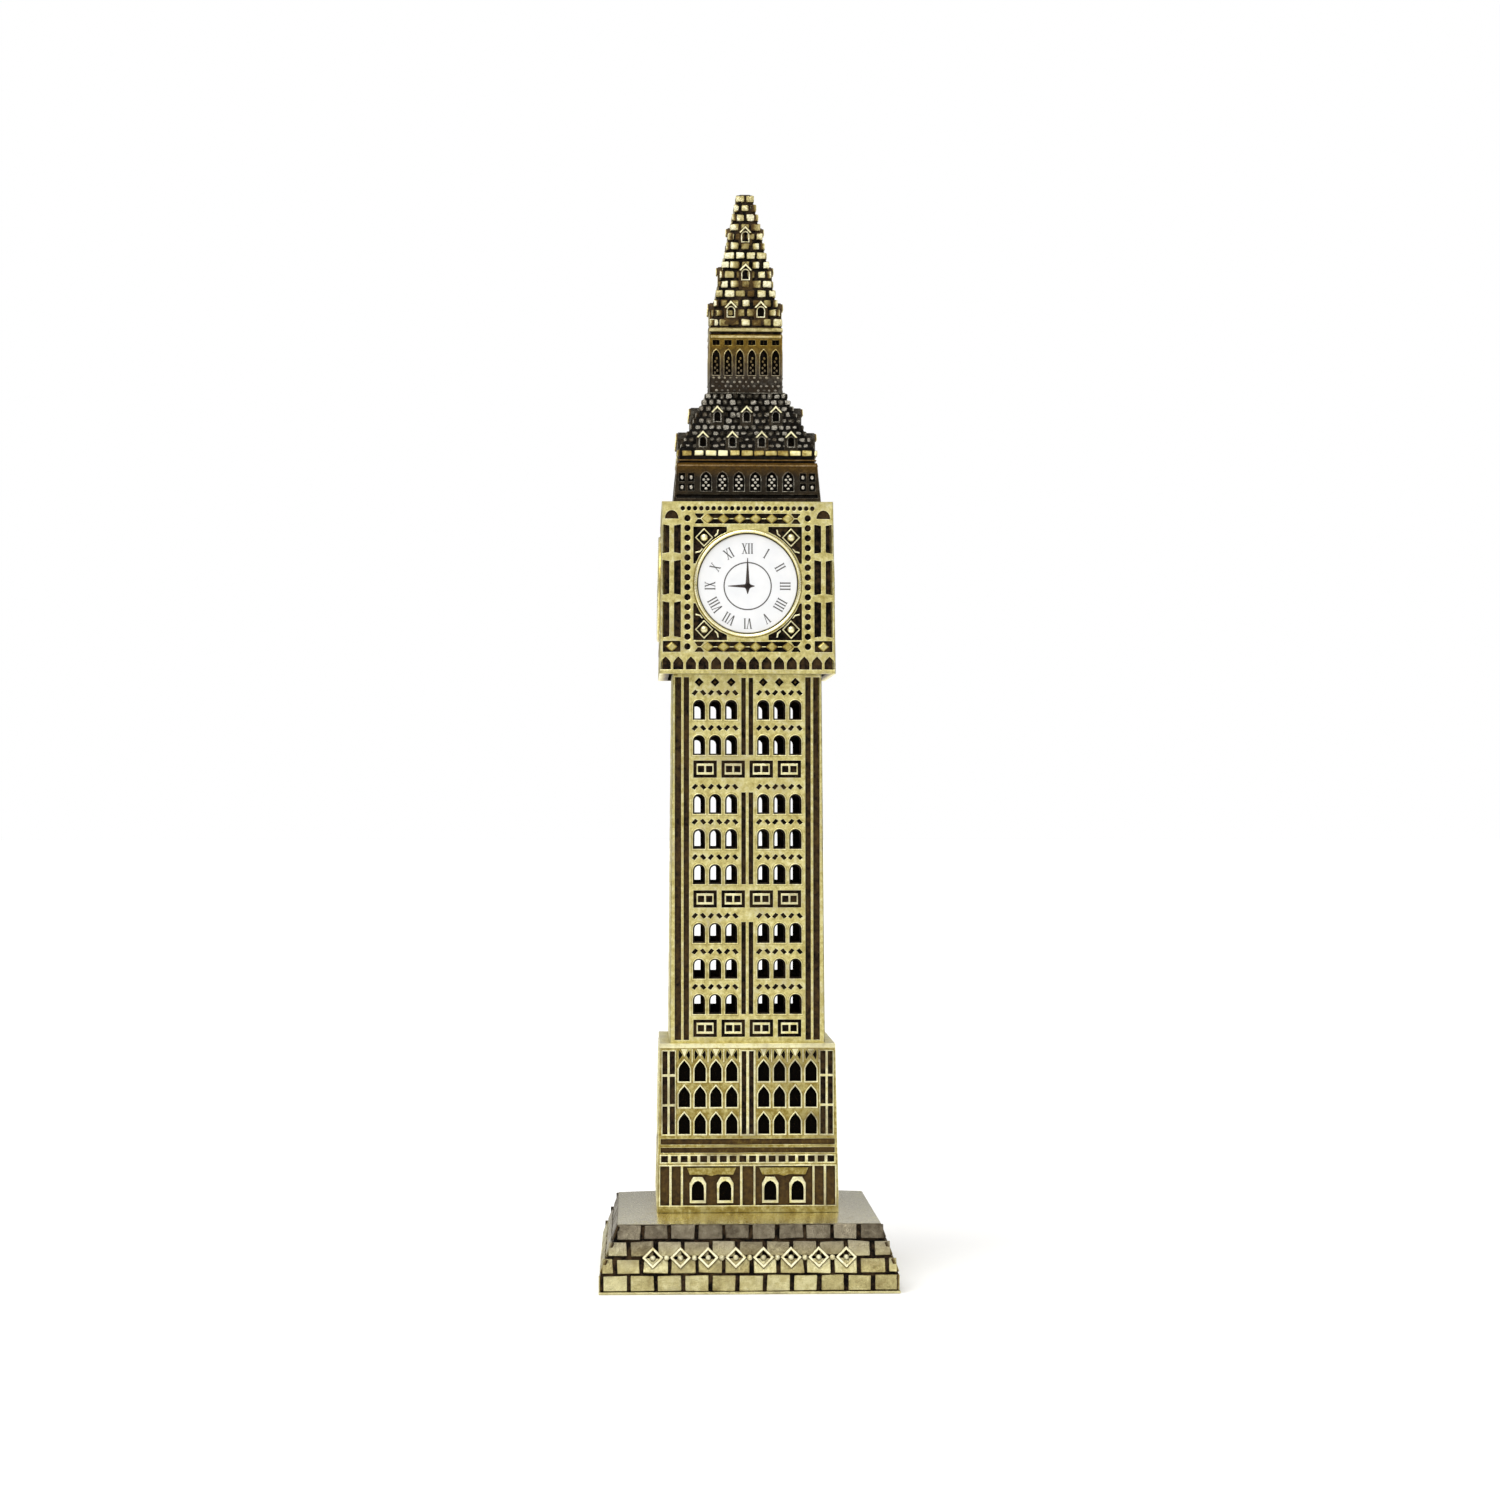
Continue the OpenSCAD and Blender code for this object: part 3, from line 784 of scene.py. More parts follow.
def stack(mesh, loops):
    """A closed solid through square loops of (half width, z, patina), from the foot up."""
    layer = mesh.verts.layers.float.get("patina") or mesh.verts.layers.float.new("patina")
    rows = []
    for half, z, patina in loops:
        row = []
        for x, y in rect(-half, -half, half, half):
            v = mesh.verts.new(Vector((x, y, z)) * MM)
            v[layer] = patina
            row.append(v)
        rows.append(row)
    for low, high in zip(rows, rows[1:]):
        for i in range(4):
            j = (i + 1) % 4
            mesh.faces.new((low[i], low[j], high[j], high[i]))
    mesh.faces.new(rows[0][::-1])
    mesh.faces.new(rows[-1])


def lay_course(mesh, material, tile, face, v, height, half_w, seed, shift=0.0, painted_shade=lambda u: 0):
    """One course of tiles on a face, cut off where the face ends, each worn and shaped a little apart.

    The count is odd, so that shift alone sets the bond; the last argument gives how much darker the course is
    at u, and it carries painted shade."""
    count = 2 * math.ceil(half_w / tile.width) + 3
    depth = tile.proud + tile.sunk_in
    block = soft_block(tile.width - tile.joint, height, depth, tile.corner, tile.patina)
    size = len(block.data.vertices)
    row = row_of(block, material, count, tile.width, seed, tile.unevenness)
    drop_template(block)
    bricks = bmesh.new()
    bricks.from_mesh(row)
    bpy.data.meshes.remove(row)
    layer, dice = bricks.verts.layers.float["patina"], random.Random(seed)
    rubbed = [dice.uniform(-tile.wear, tile.wear) for _ in range(count)]
    longer = [1 + dice.uniform(-tile.stretch, tile.stretch) for _ in range(count)]
    for i, vert in enumerate(bricks.verts):
        nth = i // size
        middle = (nth - (count - 1) / 2) * tile.width
        vert.co.x = middle + (vert.co.x - middle) * longer[nth]
        if vert.co.z > 0.6 * depth:
            # painted shade: the tile's face is darkened where the last argument says
            vert[layer] += rubbed[nth] - painted_shade(vert.co.x + shift * tile.width)
        dx, dy, _ = noise.noise_vector(vert.co * 0.9 + Vector((seed, 3.1 * seed, 0)))
        vert.co += Vector((dx, dy, 0)) * tile.rough
    bmesh.ops.translate(bricks, verts=bricks.verts,
                        vec=(shift * tile.width, v + height / 2, -tile.sunk_in))
    for sign in (-1, 1):
        cut = bmesh.ops.bisect_plane(bricks, geom=bricks.verts[:] + bricks.edges[:] + bricks.faces[:],
                                     plane_co=(sign * half_w, 0, 0), plane_no=(sign, 0, 0),
                                     clear_outer=True)
        rim = [e for e in cut["geom_cut"] if isinstance(e, bmesh.types.BMEdge)]
        if rim:
            bmesh.ops.holes_fill(bricks, edges=rim)
    flat = bpy.data.meshes.new("row")
    bricks.to_mesh(flat)
    bricks.free()
    gather_mesh(mesh, flat, face.matrix())
    bpy.data.meshes.remove(flat)


# ---------- plinth ----------

BED_JOINT = 0.42
BRICK_PROUD = 0.34
PLINTH_LIP = 0.42
PLINTH_BAND = 3.1        # head of the upright base course
PLINTH_SHOULDER = 21.1   # half width at the head of the slope
PLINTH_RIM = 1.6         # width of the rim round the pad
PAD_POCKET = 1.0
COURSE_PATINA = (0.9, 0.8, 0.7)
BRICK = Tile(width=4.32, joint=0.62, proud=BRICK_PROUD - 0.03, corner=0.16, unevenness=0.04, wear=0.2,
             rough=0.24, stretch=0.03)
BASE_BRICK = BRICK._replace(proud=BRICK_PROUD - 0.12, unevenness=0.02, wear=0.14, rough=0.14,
                            stretch=0.02, patina=0.9)


def plinth_slope(side, drop):
    """The leaning face between base course and shoulder, drop behind its bricks, and its length."""
    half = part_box("plinth")[1].x / MM
    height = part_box("lower_wall_front")[0].z / MM - 1 - PLINTH_BAND
    face = Face(side, PLINTH_BAND, height, 2 * half - 2 * drop, 2 * PLINTH_SHOULDER - 2 * drop)
    return face, math.hypot(height, half - PLINTH_SHOULDER)


def build_plinth():
    band, shoulder = PLINTH_BAND, PLINTH_SHOULDER
    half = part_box("plinth")[1].x / MM
    foot_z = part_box("lower_wall_front")[0].z / MM
    shoulder_z = foot_z - 1
    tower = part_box("lower_wall_front")[1].x / MM
    rim, core = half - PLINTH_RIM, half - BRICK_PROUD
    mesh = bmesh.new()
    stack(mesh, [(rim, PAD_POCKET, SUNK), (rim, 0.08, WASHED), (rim + 0.1, 0, FIELD),
                 (half - 0.12, 0, FIELD), (half, 0.1, RAISED),
                 (half, PLINTH_LIP - 0.1, RAISED), (half - 0.1, PLINTH_LIP, FIELD),
                 (core, PLINTH_LIP + 0.04, SUNK), (core, band, SUNK),
                 (shoulder - BRICK_PROUD, shoulder_z - 0.25, SUNK),
                 (shoulder - 0.06, shoulder_z - 0.16, WASHED), (shoulder, shoulder_z - 0.06, RAISED),
                 (shoulder - 0.1, shoulder_z, 0.9), (tower, foot_z - 0.04, FIELD),
                 (tower - 0.6, foot_z - 0.04, SUNK)])
    for side in range(4):
        lay_course(mesh, PLINTH_BRASS, BASE_BRICK, upright_face(side, 0, core), PLINTH_LIP + 0.12,
                   band - PLINTH_LIP - 0.22, half - 0.03, 11 + side, shift=0.05)
        leaning, slope = plinth_slope(side, BRICK_PROUD)
        pitch = slope / len(COURSE_PATINA)
        for course, patina in enumerate(COURSE_PATINA):
            v = course * pitch + BED_JOINT / 2
            middle = (v + pitch / 2) / slope
            width = half + (shoulder - half) * middle
            lay_course(mesh, PLINTH_BRASS, BRICK._replace(patina=patina), leaning, v, pitch - BED_JOINT,
                       width - 0.05, 31 + 7 * course + side, shift=0.5 * ((course + 1) % 2) + 0.05)
    close(mesh)
    # Faces on the shoulder's top take the paler brass: painted sheen.
    for f in mesh.faces:
        if f.calc_center_median().z > (shoulder_z - 0.02) * MM:
            f.material_index = 1
    finish_piece("brick_plinth", mesh, [PLINTH_BRASS, HIP_PAINTED_SHEEN_BRASS], ["plinth"])


FRIEZE_PITCH = 4.4
FRIEZE_V = 2.75


def build_plinth_frieze():
    """A plain band of beads and open lozenges across the front courses."""
    face, _ = plinth_slope(0, 0)
    mesh = bmesh.new()
    shell = Shell()
    outer = diamond(0, 0, 1.75, 1.8)
    inner = inset(outer, 0.46)
    shell.strip([(outer, -0.25, SUNK), (outer, 0.2, WASHED), (inset(outer, 0.08), 0.3, RAISED),
                 (inset(inner, -0.08), 0.3, RAISED), (inner, 0.2, WASHED), (inner, -0.25, SUNK)])
    last = len(shell.points) - 4
    shell.faces += [(i, (i + 1) % 4, last + (i + 1) % 4, last + i) for i in range(4)]
    ornament = shell_template(shell)
    bead = stud(1.0, 1.0, 0.5)
    for template, count in ((ornament, 8), (bead, 8), (bead, 7)):
        row = row_of(template, SPIRE_BRASS, count, FRIEZE_PITCH)
        gather_mesh(mesh, row, face.matrix() @ Matrix.Translation((0, FRIEZE_V, -0.03)))
        bpy.data.meshes.remove(row)
    drop_template(ornament)
    drop_template(bead)
    close(mesh)
    finish_piece("plinth_ornament", mesh, [SPIRE_BRASS])


# ---------- lower storey ----------

STRIP, BAND = 0.95, 0.93                             # patina of its raised strips and bands
PANEL, POST_PANEL, BAND_GROOVE = 0.24, 0.26, 0.27    # and of the brown ground between them
SLOT_FOOT, SLOT_HEAD = 12.62, 26.0
TRANSOMS = (17.3, 22.1)
DOOR_FOOT, DOOR_HEAD = 1.15, 7.45


def barred(x0, x1, foot, head, bars=()):
    """A long groove broken by bars."""
    ends = [foot] + [bar + side for bar in bars for side in (-0.2, 0.2)] + [head]
    return [sink(rect(x0, low, x1, high), -0.5, 0.1) for low, high in zip(ends[::2], ends[1::2])]


def pilaster(grooves, x0, x1, bars=()):
    """A worn strip round a pair of long grooves, each given by its two edges."""
    cuts = [cut for left, right in grooves for cut in barred(left, right, SLOT_FOOT, SLOT_HEAD, bars)]
    return rise(rect(x0, 12.35, x1, 26.2), 0.04, STRIP, cuts)


def crest(x):
    """Two sunk darts either side of a raised wedge, with a worn strip at one side."""
    dart = [(0.28, 25.42), (0.8, 24.6), (0.94, 25.42), (0.8, 26.24)]
    made = [sink([(x + dx, y) for dx, y in dart], -0.5, 0)]
    made.append(sink([(x - dx, y) for dx, y in reversed(dart)], -0.5, 0))
    made.append(rise([(x, 25.06), (x + 0.56, 26.36), (x - 0.56, 26.36)], 0.06, RAISED))
    made.append(rise(rect(x + 1.16, 24.2, x + 1.4, 26.36), 0.06, STRIP))
    return made


def lower_windows():
    """Three rows of blind windows under a crest, between worn pilasters."""
    made = []
    for x in spread(4, 2.56, 6.43) + spread(4, 2.56, -6.43):
        for foot in (12.66, 17.0, 21.15):
            window = gabled_arch(x, foot, 1.8, 3.35, 1.3)
            # The blind window's floor is painted pitch black: painted shade.
            made.append(rise(inset(window, -0.24), 0.1, RAISED, [sink(window, -0.9, PAINTED_SHADOW)]))
        made += crest(x)
    made.append(pilaster(((-0.96, -0.24), (0.24, 0.96)), -1.3, 1.3))
    made.append(pilaster(((11.8, 12.62), (13.02, 13.8)), 11.6, 14.0, TRANSOMS))
    made.append(pilaster(((-13.8, -13.02), (-12.62, -11.8)), -14.0, -11.6, TRANSOMS))
    return made


def doorways(middle):
    """Two framed doorways under a hood, in a sunk panel."""
    made = []
    for x in spread(2, 4.42, middle):
        doorway = pointed_arch(x, 1.95, 1.95, 3.15, 1.2)
        surround = [(x - 1.32, 1.5), (x + 1.32, 1.5), (x + 1.36, 4.7), (x + 0.75, 5.72),
                    (x - 0.75, 5.72), (x - 1.36, 4.7)]
        # The doorway's floor is painted pitch black: painted shade.
        made.append(rise(surround, -0.05, RAISED, [sink(doorway, -0.9, PAINTED_SHADOW)]))
    hood = [(-4.0, 7.2), (-3.5, 6.05), (-0.9, 6.1), (0, 5.85), (0.9, 6.1), (3.5, 6.05), (4.0, 7.2)]
    made.append(rise([(middle + x, y) for x, y in hood], -0.15, 0.66))
    return sink(rect(middle - 4.6, DOOR_FOOT, middle + 4.6, DOOR_HEAD), -0.5, PANEL, made)


def lower_features():
    made = lower_windows()
    for low, high in ((10.95, 11.85), (9.62, 10.45)):
        made.append(sink(rect(-14.1, low, 14.1, high), -0.4, BAND_GROOVE))
    dentils = [sink(rect(x - 0.54, 8.12, x + 0.54, 9.12), -0.4, 0.1) for x in spread(18, 1.585)]
    made.append(rise(rect(-14.3, 7.9, 14.3, 9.35), 0.05, BAND, dentils))
    panels = [doorways(middle) for middle in both(5.86)]
    panels.append(sink(rect(-0.85, DOOR_FOOT, 0.92, DOOR_HEAD), -0.45, POST_PANEL))
    for x0, x1 in ((10.85, 12.3), (12.72, 14.15), (-12.3, -10.85), (-14.15, -12.72)):
        panels.append(sink(rect(x0, DOOR_FOOT, x1, DOOR_HEAD), -0.45, PANEL))
    made.append(rise(rect(-14.42, 0.95, 14.42, 7.7), 0.05, BAND, panels))
    return made


# ---------- shaft ----------

SHAFT_ROWS = (4.65, 10.4, 16.2, 25.75, 31.5, 37.2, 46.8, 52.55)    # feet of the windows
SHAFT_BAYS = ((4.65, 19.6), (25.75, 40.7), (46.8, 59.4))           # foot and head of the middle grooves
SHAFT_PANELS = (0.95, 21.95, 43.1)                                 # feet of the framed panels
GEM_V = 58.7


def slit(x, y, lean):
    """A short slanting slot; lean is -1 or 1."""
    ux, uy = 0.29 * lean, 0.33
    sx, sy = 0.24, -0.17 * lean
    return [(x - ux - sx, y - uy - sy), (x - ux + sx, y - uy + sy), (x + ux + sx, y + uy + sy),
            (x + ux - sx, y + uy - sy)]


def shaft_features():
    made = []
    for x in spread(3, 2.62, 5.24) + spread(3, 2.62, -5.24):
        for foot in SHAFT_ROWS:
            window = round_arch(x, foot, 1.96, 3.25)
            made.append(rise(inset(window, -0.22), 0.06, 0.86, [pierce(window, 0.26)]))
            for lean, dx in ((1, -0.68), (-1, 0.68)):
                made.append(sink(slit(x + dx, foot + 4.42, lean), -0.35))
        gem = [rise(diamond(x, GEM_V, 0.22, 0.22), -0.2, WASHED)]
        made.append(sink(diamond(x, GEM_V, 0.74, 0.74), -0.45, SUNK, gem))
    for left in (-1, 1):
        for x0, x1 in ((9.5, 10.35), (10.78, 11.8)):
            low, high = sorted((left * x0, left * x1))
            made.append(sink(rect(low, 0.45, high, 59.5), -0.5, 0.14))
    for foot, head in SHAFT_BAYS:
        for x in both(0.6):
            made.append(sink(rect(x - 0.35, foot, x + 0.35, head), -0.5, 0.08))
    for foot in SHAFT_PANELS:
        for x in spread(4, 4.58):
            outer = rect(x - 1.9, foot, x + 1.9, foot + 2.8)
            inner = rect(x - 1.4, foot + 0.5, x + 1.4, foot + 2.3)
            holes = [sink(rect(h - 0.5, foot + 0.88, h + 0.5, foot + 1.92), -0.45)
                     for h in spread(2, 1.34, x)]
            made.append(sink(outer, -0.42, SUNK, [rise(inner, 0.02, 0.97, holes)]))
    return made


# ---------- clock stage ----------

DIAL_V = 14.68
BEZEL_R = 8.85
SEAT = 0.6
BOSS_RISE = 7.5    # from the dial's middle to the corner rings


def spandrel(right, top):
    """The sunk corner between the dial and its square frame."""
    reach, side, head = 9.07, 8.82, 9.25
    turns = [math.radians(a) for a in (21, 30, 40, 50, 60, 68)]
    arc = [(reach * math.cos(t), reach * math.sin(t)) for t in turns]
    outline = [(side, arc[0][1]), (side, head), (arc[-1][0], head)] + arc[::-1]
    return [(x, DIAL_V + y) for x, y in mirrored(outline, right, top)]


def scrolls(right, top):
    """Two thin hooked ribs in a spandrel, beside its ring."""
    beside = [(5.33, 7.6), (5.44, 7.8), (5.04, 8.2), (4.92, 8.8), (4.66, 8.8), (4.8, 8.04)]
    below = [(7.66, 5.1), (8.5, 4.92), (8.5, 5.18), (7.8, 5.32), (7.42, 5.72), (7.26, 5.64)]
    return [[(x, DIAL_V + y) for x, y in mirrored(rib, right, top)] for rib in (beside, below)]


def hourglass_gaps(foot, head):
    """The dark gaps above and below a row of waisted bars."""
    middle, waist = (foot + head) / 2, 0.08
    gaps = []
    for x in spread(7, 2.62):
        half = 1.18 if abs(x) < 7 else 0.72
        for up in (-1, 1):
            near, far = middle + up * waist, middle + up * (head - foot) / 2
            gap = [(x - 0.35 * half, near), (x + 0.35 * half, near), (x + half, far - up * 0.12),
                   (x + half, far), (x - half, far), (x - half, far - up * 0.12)]
            gaps.append(sink(gap if up > 0 else gap[::-1], -0.4))
    return gaps


def corner_post(middle):
    """Bowed slots in pairs up a corner of the clock stage, with an arched head and a square foot."""
    turns = [math.pi * i / 8 for i in range(9)]
    made = [sink([(middle + 1.12 * math.cos(t), 25.22 + 1.4 * math.sin(t)) for t in turns], -0.4, 0.14)]
    bow = 0.2
    for x in spread(2, 1.86, middle):
        inner = x + math.copysign(0.54, middle - x)
        outer = x - math.copysign(0.54, middle - x)
        for foot, head in ((5.85, 11.75), (12.8, 18.5), (19.55, 24.3)):
            slot = [(outer, foot), (inner, foot + bow), (inner, head - bow), (outer, head)]
            made.append(sink(slot if inner > outer else slot[::-1], -0.5))
    made.append(sink(rect(middle - 1.42, 3.5, middle + 1.42, 5.3), -0.42))
    return made


def clock_features():
    made = [sink(oval(0, DIAL_V, BEZEL_R, count=72), -SEAT, SUNK)]
    for right in (-1, 1):
        for top in (-1, 1):
            ring = diamond(7.08 * right, DIAL_V + BOSS_RISE * top, 1.5, 1.55)
            inside = [rise(ring, -0.08, RAISED, [sink(inset(ring, 0.2), -0.5, SUNK)])]
            inside += [rise(rib, -0.2, 1.1) for rib in scrolls(right, top)]
            made.append(sink(spandrel(right, top), -0.5, SUNK, inside))
    for x in spread(22, 1.005):
        made.append(sink(oval(x, 26.93, 0.37, 0.4, 8), -0.35))
    for x in both(9.8):
        for y in spread(14, 1.61, 14.85):
            made.append(sink(oval(x, y, 0.52, 0.55, 10), -0.42))
    made += hourglass_gaps(24.42, 26.08) + hourglass_gaps(3.52, 5.18)
    for middle in both(12.35):
        made += corner_post(middle)
    for x in spread(14, 2.05):
        made.append(sink(gabled_arch(x, 0.66, 1.62, 2.12, 1.02), -0.42, 0.1))
    return made


def build_walls():
    """Every storey's four walls; each side takes the same relief."""
    for stem, thick, features, field, brass in (
            ("lower_wall", 1.3, lower_features(), 0.68, LOWER_BRASS),
            ("shaft_wall", 1.3, shaft_features(), FIELD, WALL_BRASS),
            ("clock_wall", 1.6, clock_features(), FIELD, WALL_BRASS)):
        storey = Storey(stem + "_front")
        shell = wall(storey.foot_w, storey.head_w, storey.height, thick, features, field)
        for side, word in enumerate(SIDES):
            mesh = bmesh.new()
            gather(mesh, shell, storey.face(side).at)
            close(mesh)
            finish_piece(f"{stem}_casting_{word}", mesh, [brass], [f"{stem}_{word}"])


def build_clock_studs():
    """Raised lozenges and bosses on the clock stage."""
    storey = Storey("clock_wall_front")
    boss = stud(1.42, 1.42, 0.62)
    gem, small = lozenge(1.05, 0.82, 0.2, 0.72), lozenge(0.95, 0.85, 0.4, FIELD)
    rows = [(boss, 2, 14.16, DIAL_V + BOSS_RISE, -0.5), (boss, 2, 14.16, DIAL_V - BOSS_RISE, -0.5),
            (gem, 6, 2.62, 25.25, -0.12), (gem, 6, 2.62, 4.35, -0.12), (small, 2, 24.7, 4.4, -0.42)]
    for side, word in enumerate(SIDES):
        mesh = bmesh.new()
        for seed, (template, count, pitch, v, w) in enumerate(rows):
            row = row_of(template, WALL_BRASS, count, pitch, seed, 0.02)
            gather_mesh(mesh, row, storey.face(side).matrix() @ Matrix.Translation((0, v, w)))
            bpy.data.meshes.remove(row)
        close(mesh)
        finish_piece(f"clock_studs_{word}", mesh, [WALL_BRASS])
    for template in (boss, gem, small):
        drop_template(template)


def build_bezels():
    storey = Storey("clock_wall_front")
    for side, word in enumerate(SIDES):
        face = storey.face(side)
        ring = grow(RING, {"Radius": BEZEL_R - 0.33, "Width": 0.62, "Height": 0.95, "Steps": 96,
                           "Material": BEZEL_BRASS})
        mesh = bmesh.new()
        gather_mesh(mesh, ring, face.matrix() @ Matrix.Translation((0, DIAL_V, -0.05)))
        bpy.data.meshes.remove(ring)
        layer = mesh.verts.layers.float.new("patina")
        centre = face.at(0, DIAL_V, 0)
        for v in mesh.verts:
            proud = (v.co / MM - centre).dot(face.out) + 0.05
            v[layer] = 0.3 + 1.6 * max(0.0, min(0.45, proud))
        bmesh.ops.recalc_face_normals(mesh, faces=mesh.faces)
        finish_piece(f"bezel_ring_{word}", mesh, [BEZEL_BRASS], [f"bezel_{word}"],
                     weighted=False)


# ---------- dials ----------

NUMERALS = ["XII", "I", "II", "III", "IIII", "V", "VI", "VII", "VIII", "IX", "X", "XI"]
NUMERAL_R = 6.12
NUMERAL_H = 1.7
THICK, THIN = 0.19, 0.1    # of a pen stroke
INK = 0.03
PRINT_DROP = 0.42          # the print sits this much below the plate's middle
DIAL_R = 8.1
DIAL_TOP = -0.1


def stroke(x0, y0, x1, y1, width):
    """A straight pen stroke, level at both ends."""
    half = width / 2
    return [(x0 - half, y0), (x0 + half, y0), (x1 + half, y1), (x1 - half, y1)]


def letter(kind, x, h):
    """The strokes of one numeral letter with its left edge at x, and its width."""
    serif = 0.07
    if kind == "I":
        return [stroke(x + 0.25, 0, x + 0.25, h, THICK), rect(x + 0.08, 0, x + 0.42, serif),
                rect(x + 0.08, h - serif, x + 0.42, h)], 0.5
    if kind == "V":
        return [stroke(x + 0.44, 0, x + 0.15, h, THICK), stroke(x + 0.47, 0, x + 0.78, h, THIN),
                rect(x, h - serif, x + 0.32, h), rect(x + 0.62, h - serif, x + 0.92, h)], 0.92
    return [stroke(x + 0.76, 0, x + 0.16, h, THICK), stroke(x + 0.16, 0, x + 0.76, h, THIN),
            rect(x, 0, x + 0.32, serif), rect(x + 0.62, 0, x + 0.92, serif),
            rect(x, h - serif, x + 0.32, h), rect(x + 0.62, h - serif, x + 0.92, h)], 0.92


def numeral_strokes():
    made = []
    for hour, word in enumerate(NUMERALS):
        turn = -math.radians(30 * hour)
        strokes, x = [], 0.0
        for kind in word:
            more, width = letter(kind, x, NUMERAL_H)
            strokes += more
            x += width
        for outline in strokes:
            upright = [(px - x / 2, py - NUMERAL_H / 2 + NUMERAL_R) for px, py in outline]
            made.append(turned(upright, turn))
    return made


def hand(length, tail, belly, turn):
    """A tapered hand with a short tail, turned clockwise from twelve."""
    outline = [(-0.04, -tail), (0.04, -tail), (belly, -0.1), (belly * 0.8, 0.25), (0.05, length),
               (-0.05, length), (-belly * 0.8, 0.25), (-belly, -0.1)]
    return turned(outline, -turn)


def print_prism(shell, outline, holes=()):
    """A printed mark, as thick as its ink."""
    shell.strip([(outline, 0, RAISED), (outline, INK, RAISED)])
    for hole in holes:
        shell.strip([(hole, INK, RAISED), (hole, 0, RAISED)])
    shell.fill(outline, list(holes), INK, RAISED)
    shell.fill(outline, list(holes), 0, RAISED, -1)


def build_dials():
    storey = Storey("clock_wall_front")
    marks, hands, plate = Shell(), Shell(), Shell()
    for outline in numeral_strokes():
        print_prism(marks, outline)
    print_prism(marks, oval(0, 0, 3.93, count=72), [oval(0, 0, 3.74, count=72)])
    print_prism(hands, hand(4.6, 1.3, 0.42, 0))
    print_prism(hands, hand(3.2, 1.15, 0.38, -math.pi / 2))
    print_prism(hands, oval(0, 0, 0.55, count=16))
    rim, shoulder, top = (oval(0, 0, DIAL_R - d, count=96) for d in (0, 0.04, 0.12))
    plate.strip([(rim, -SEAT, 1), (rim, DIAL_TOP - 0.12, 1), (shoulder, DIAL_TOP - 0.05, 1),
                 (top, DIAL_TOP, 1)])
    plate.fill(top, [], DIAL_TOP, 1)
    plate.fill(rim, [], -SEAT, 1, -1)
    for side, word in enumerate(SIDES):
        face = storey.face(side)
        for name, shell, drop, lift, material, nodes in (
                ("dial_plate", plate, 0, 0, DIAL_WHITE, [f"dial_{word}"]),
                ("dial_numerals", marks, PRINT_DROP, DIAL_TOP - 0.005, NUMERAL_INK, []),
                ("dial_hands", hands, PRINT_DROP, DIAL_TOP - 0.003, HAND_INK, [])):
            mesh = bmesh.new()
            gather(mesh, shell, lambda u, v, w: face.at(u, v + DIAL_V - drop, w + lift))
            bmesh.ops.remove_doubles(mesh, verts=mesh.verts, dist=0.0005 * MM)
            bmesh.ops.recalc_face_normals(mesh, faces=mesh.faces)
            finish_piece(f"{name}_{word}", mesh, [material], nodes, weighted=False)


# ---------- ledge, belfry and lantern ----------

BELFRY_HEAD_W = 23.0
BELFRY_NECK = 1.1        # height of the moulding between the belfry's arches and the eaves
# Knobs of a carved spray: in a belfry arch as shares of its width and height, in a lantern niche in
# millimetres from the middle of its foot
BELFRY_SPRAY = ((0, 0.14), (-0.24, 0.3), (0.24, 0.3), (0, 0.46), (-0.2, 0.6), (0.2, 0.62), (0, 0.78))
LANTERN_SPRAY = ((-0.2, 0.4), (0.2, 0.75), (-0.18, 1.2), (0.16, 1.7), (-0.12, 2.25), (0.1, 2.8))


def build_shoulder_plate():
    low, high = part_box("lower_ledge")
    half, shaft = high.x / MM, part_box("shaft_wall_front")[1].x / MM
    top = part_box("shaft_wall_front")[0].z / MM
    inside = half - 1.4
    mesh = bmesh.new()
    stack(mesh, [(inside, low.z / MM, SUNK), (inside, top - 0.8, SUNK), (half - 0.05, top - 0.79, WASHED),
                 (half, top - 0.7, RAISED), (half, top - 0.14, RAISED), (half - 0.04, top - 0.04, RAISED),
                 (half - 0.14, top, RAISED), (shaft + 0.15, top, 0.85), (shaft - 0.6, top, SUNK)])
    close(mesh)
    finish_piece("shoulder_plate", mesh, [WALL_BRASS], ["lower_ledge"])


def niche(x, foot, width, height, peak):
    """A framed blind arch with a worn carved spray in it."""
    arch = pointed_arch(x, foot, width, height, peak)
    knobs = [rise(oval(x + dx * width, foot + dy * height, 0.15 * width, 0.07 * height, 7), -0.12, 1.15)
             for dx, dy in BELFRY_SPRAY]
    return rise(inset(arch, -0.16), 0.1, 0.8, [sink(arch, -0.4, 0, knobs)])


def belfry_features():
    made = [niche(x, 1.9, 1.75, 3.2, 1.2) for x in spread(6, 2.69)]
    for x in both(9.15) + both(10.65):
        for foot, head in ((1.95, 3.15), (3.5, 4.9)):
            made.append(sink(rect(x - 0.5, foot, x + 0.5, head), -0.35, 0,
                             [rise(oval(x, (foot + head) / 2, 0.28, 0.36, 7), -0.1, 1.1)]))
    made.append(sink(rect(-11.6, 0.75, 11.6, 1.35), -0.3, 0))
    made.append(rise(rect(-11.3, 6.0, 11.3, 6.3), 0.08, 0.92))
    return made


